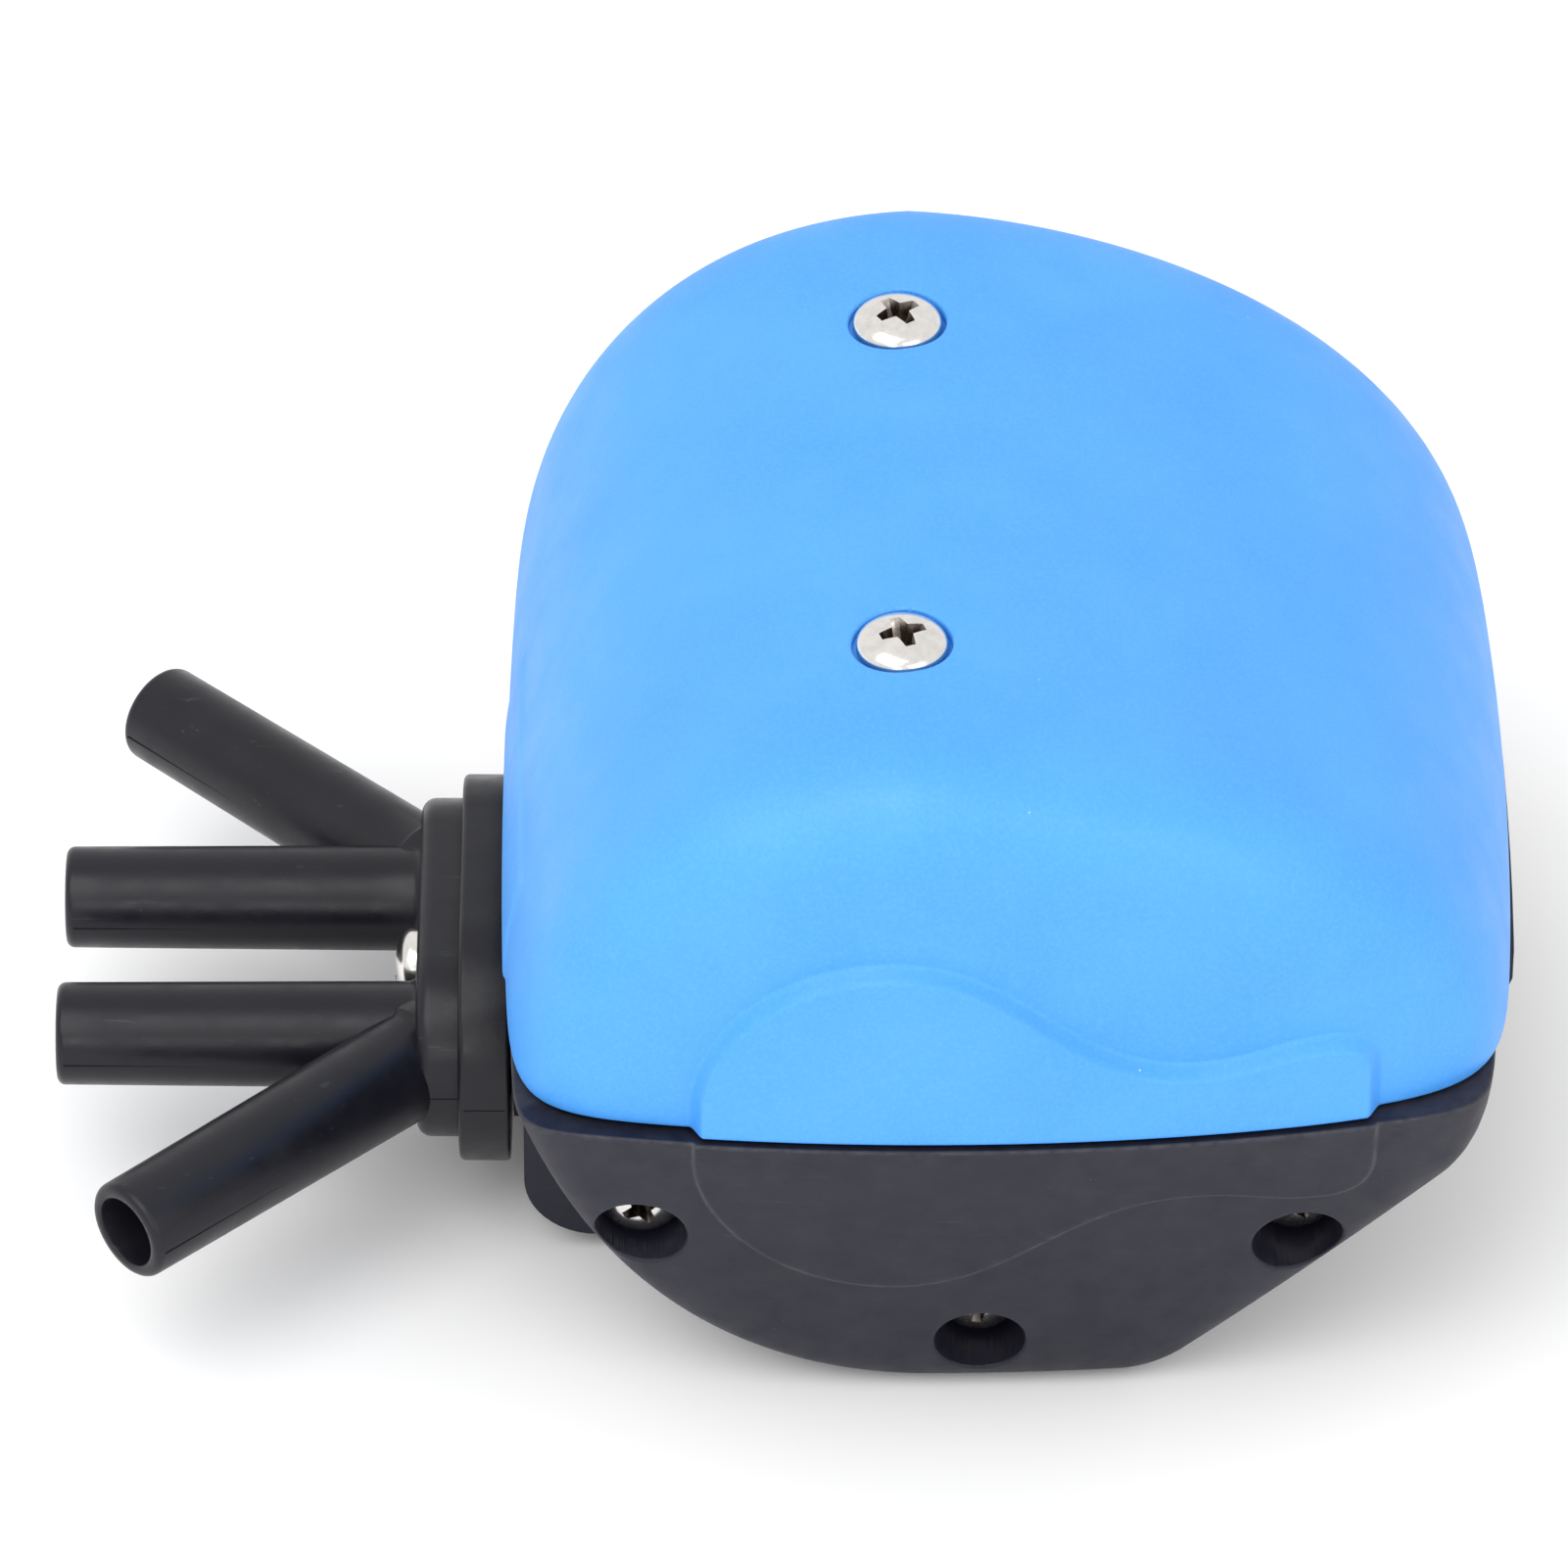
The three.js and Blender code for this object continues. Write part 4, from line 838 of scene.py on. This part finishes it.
# ---------- inlet, rate screw, diaphragms ----------
def inlet_grommet():
    """The rubber grommet in the underside, with three sealing ribs in its bore."""
    bore, neck, outer = 7.75, 6.95, 12.7
    profile = [(bore, 2.8), (bore + 0.2, 2.2), (8.4, 1.85), (bore + 1, 1.8), (12.3, 1.8), (12.62, 1.95)]
    profile += [(outer, 2.2), (outer, 10.9), (12.4, 11.2)]
    profile += [(neck + 0.2, 11.2), (neck, 11.0), (neck, 9.5), (7.2, 8.9), (bore, 8.2)]
    for z in (7.0, 5.6, 4.2):
        profile += [(bore, z + 0.35), (bore - 0.2, z), (bore, z - 0.35)]
    profile.append(profile[0])
    obj = turned(profile, 96)
    place = Matrix.Translation((AXIS_X, 0, 0))
    return piece(obj, "inlet_seal", RUBBER, "housing", ["inlet_grommet"], 45, place)


def slant_place():
    """Stands a shape drawn about +Z on the slanted underside, pointing out of it."""
    return Matrix.Translation((RATE_X, 0, RATE_X - FLAT_RIGHT)) @ Matrix.Rotation(0.75 * math.pi, 4, "Y")


def rate_screw():
    """The brass rate screw: a needle tip, a ring groove and a slotted, knurled head."""
    shank_r, groove_r, head_r = 1.75, 1.3, 3.6
    profile = [(0, -10.9), (0.3, -10.85), (shank_r, -8.5), (shank_r, -7.3)]
    profile += [(groove_r, -7.1), (groove_r, -5.5), (shank_r, -5.3), (shank_r, -3.6)]
    profile += [(head_r - 0.3, -3.6), (head_r, -3.4), (head_r, -1.5), (3.45, -1.15), (3.15, -1.0), (0, -1.0)]
    obj = turned(profile, 72)
    steps = [("DIFFERENCE", box(-5, 5, -0.5, 0.5, -2.1, 2))]
    knurls, knurl_r = 24, head_r + 0.08
    for i in range(knurls):
        a = 2 * math.pi * i / knurls
        groove = rod("z", knurl_r * math.cos(a), knurl_r * math.sin(a), 0.2, -4, 2, 8)
        steps.append(("DIFFERENCE", groove))
    carve(obj, steps)
    return piece(obj, "rate_needle", BRASS, "rate_screw", ["rate_screw"], 30, slant_place())


def rate_ring():
    middle, radius, section = -6.3, 2.35, 0.45
    profile = []
    for i in range(17):
        a = 2 * math.pi * i / 16
        profile.append((radius + section * math.cos(a), middle + section * math.sin(a)))
    obj = turned(profile, 64)
    place = slant_place()
    return piece(obj, "rate_seal", RUBBER, "rate_screw", ["rate_screw_ring"], 45, place)


def diaphragm(side, end):
    """A rolled rubber diaphragm with a bead at its rim and a middle, made as one rigid piece attached to no
    body.
    """
    bead_in, bead_out, near, far = 22.4, 24.2, 18.6, 20.9
    middle, thick, flat_r, bulge, bore = 24.2, 1.0, 13.0, 0.9, 2.3
    edge = (near + far) / 2 + 0.3

    def height(r):
        t = min(1.0, max(0.0, (r - flat_r) / (bead_in - flat_r)))
        return edge + (middle - edge) * (0.5 + 0.5 * math.cos(math.pi * t)) + bulge * math.sin(math.pi * t)

    radii = [bore, 8.0] + [flat_r + (bead_in - flat_r) * i / 20 for i in range(21)]
    low = [(r, height(r) - thick / 2) for r in radii]
    high = [(r, height(r) + thick / 2) for r in reversed(radii)]
    rim = [(bead_in, near + 0.3), (bead_in + 0.3, near), (bead_out - 0.3, near), (bead_out, near + 0.3)]
    rim += [(bead_out, far - 0.3), (bead_out - 0.3, far), (bead_in + 0.3, far)]
    obj = turned([*low, *rim, *high, low[0]], 96)
    place = Matrix.Translation((AXIS_X, 0, AXIS_Z)) @ Matrix.Rotation(-side * math.pi / 2, 4, "X")
    obj.data.transform(Matrix.Diagonal((MM, MM, MM, 1)) @ Matrix.Translation((SHIFT_X, 0, 0)) @ place)
    obj.name = f"membrane_{end}"
    obj.data.materials.append(RUBBER)
    obj.data.shade_smooth()
    obj.data.set_sharp_from_angle(angle=math.radians(45))
    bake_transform(obj)
    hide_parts(f"diaphragm_{end}")
    return obj


# ---------- carried-over CAD nodes ----------
CAD_LOOKS = {
    "valve_body": BLACK, "valve_plate": BLACK, "air_filter": FOAM,
    "valve_plate_gasket": RUBBER, "manifold_gasket": RUBBER,
    "shuttle_rod": STEEL, "slide_spring": STEEL, "lever_pin": STEEL,
    "slide_yoke": WHITE, "slide_valve": WHITE, "pilot_slide": WHITE, "pilot_lever": WHITE,
    **{f"rod_nut_{end}": BRASS for end in ("front", "back")},
    **{f"rod_bush_{end}": WHITE for end in ("front", "back")},
    **{f"diaphragm_plate_{place}_{end}": WHITE for place in ("inner", "outer") for end in ("front", "back")},
}


def dress_cad_nodes():
    for name, material in CAD_LOOKS.items():
        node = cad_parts[name]
        for slot in node.material_slots:
            slot.link = "DATA"
            slot.material = material
        if not node.material_slots:
            node.data.materials.append(material)
        node.data.shade_smooth()
        node.data.set_sharp_from_angle(angle=math.radians(31))


# ---------- studio ----------
def camera():
    azimuth, elevation, roll = (math.radians(a) for a in (-0.36, 38.8, 0.42))
    target = Vector((0.000175, 0.0, 0.0373))
    distance = 1.085
    forward = Vector((-math.sin(azimuth) * math.cos(elevation), math.cos(azimuth) * math.cos(elevation),
                      -math.sin(elevation)))
    level = forward.cross(Vector((0, 0, 1))).normalized()
    upright = level.cross(forward)
    right = level * math.cos(roll) + upright * math.sin(roll)
    up = right.cross(forward)
    data = bpy.data.cameras.new("camera")
    data.sensor_width = 36
    data.lens = 280.6
    obj = bpy.data.objects.new("camera", data)
    bpy.context.scene.collection.objects.link(obj)
    turn = Matrix((right, up, -forward)).transposed().to_4x4()
    obj.matrix_world = Matrix.Translation(target - forward * distance) @ turn
    bpy.context.scene.camera = obj


def area_light(name, place, size, watts, aim=(0, 0, 0.035)):
    data = bpy.data.lights.new(name, "AREA")
    data.size = size
    data.energy = watts
    obj = bpy.data.objects.new(name, data)
    bpy.context.scene.collection.objects.link(obj)
    obj.location = place
    obj.rotation_mode = "QUATERNION"
    obj.rotation_quaternion = (Vector(aim) - Vector(place)).to_track_quat("-Z", "Y")


def studio():
    bm = bmesh.new()
    reach, drop = 3.0, 0.0002
    corners = ((-reach, -reach), (reach, -reach), (reach, reach), (-reach, reach))
    bm.faces.new([bm.verts.new((x, y, -drop)) for x, y in corners])
    floor = as_object(bm, "floor")
    paper = Shader("paper", Roughness=0.9)
    paper.color(paper.mix(paper.noise(60, 2), (0.95, 0.95, 0.955), (0.97, 0.97, 0.97)))
    floor.data.materials.append(paper.material)
    world = bpy.data.worlds.new("world")
    world.use_nodes = True
    sky = world.node_tree.nodes["Background"]
    sky.inputs["Color"].default_value = (1, 1, 1, 1)
    sky.inputs["Strength"].default_value = 0.97
    bpy.context.scene.world = world
    area_light("key", (-0.42, -0.46, 0.99), 0.9, 5.8)
    area_light("fill", (0.6, -0.8, 0.6), 0.7, 1.8)
    area_light("front", (-0.20, -1.0, 0.42), 0.3, 0.9)
    bpy.context.scene.view_settings.view_transform = "Standard"


camera()
studio()
hood()
for shell_side, shell_end in ((-1, "front"), (1, "back")):
    shell(shell_side, shell_end)
    diaphragm(shell_side, shell_end)
manifold()
screws()
inlet_grommet()
rate_screw()
rate_ring()
dress_cad_nodes()
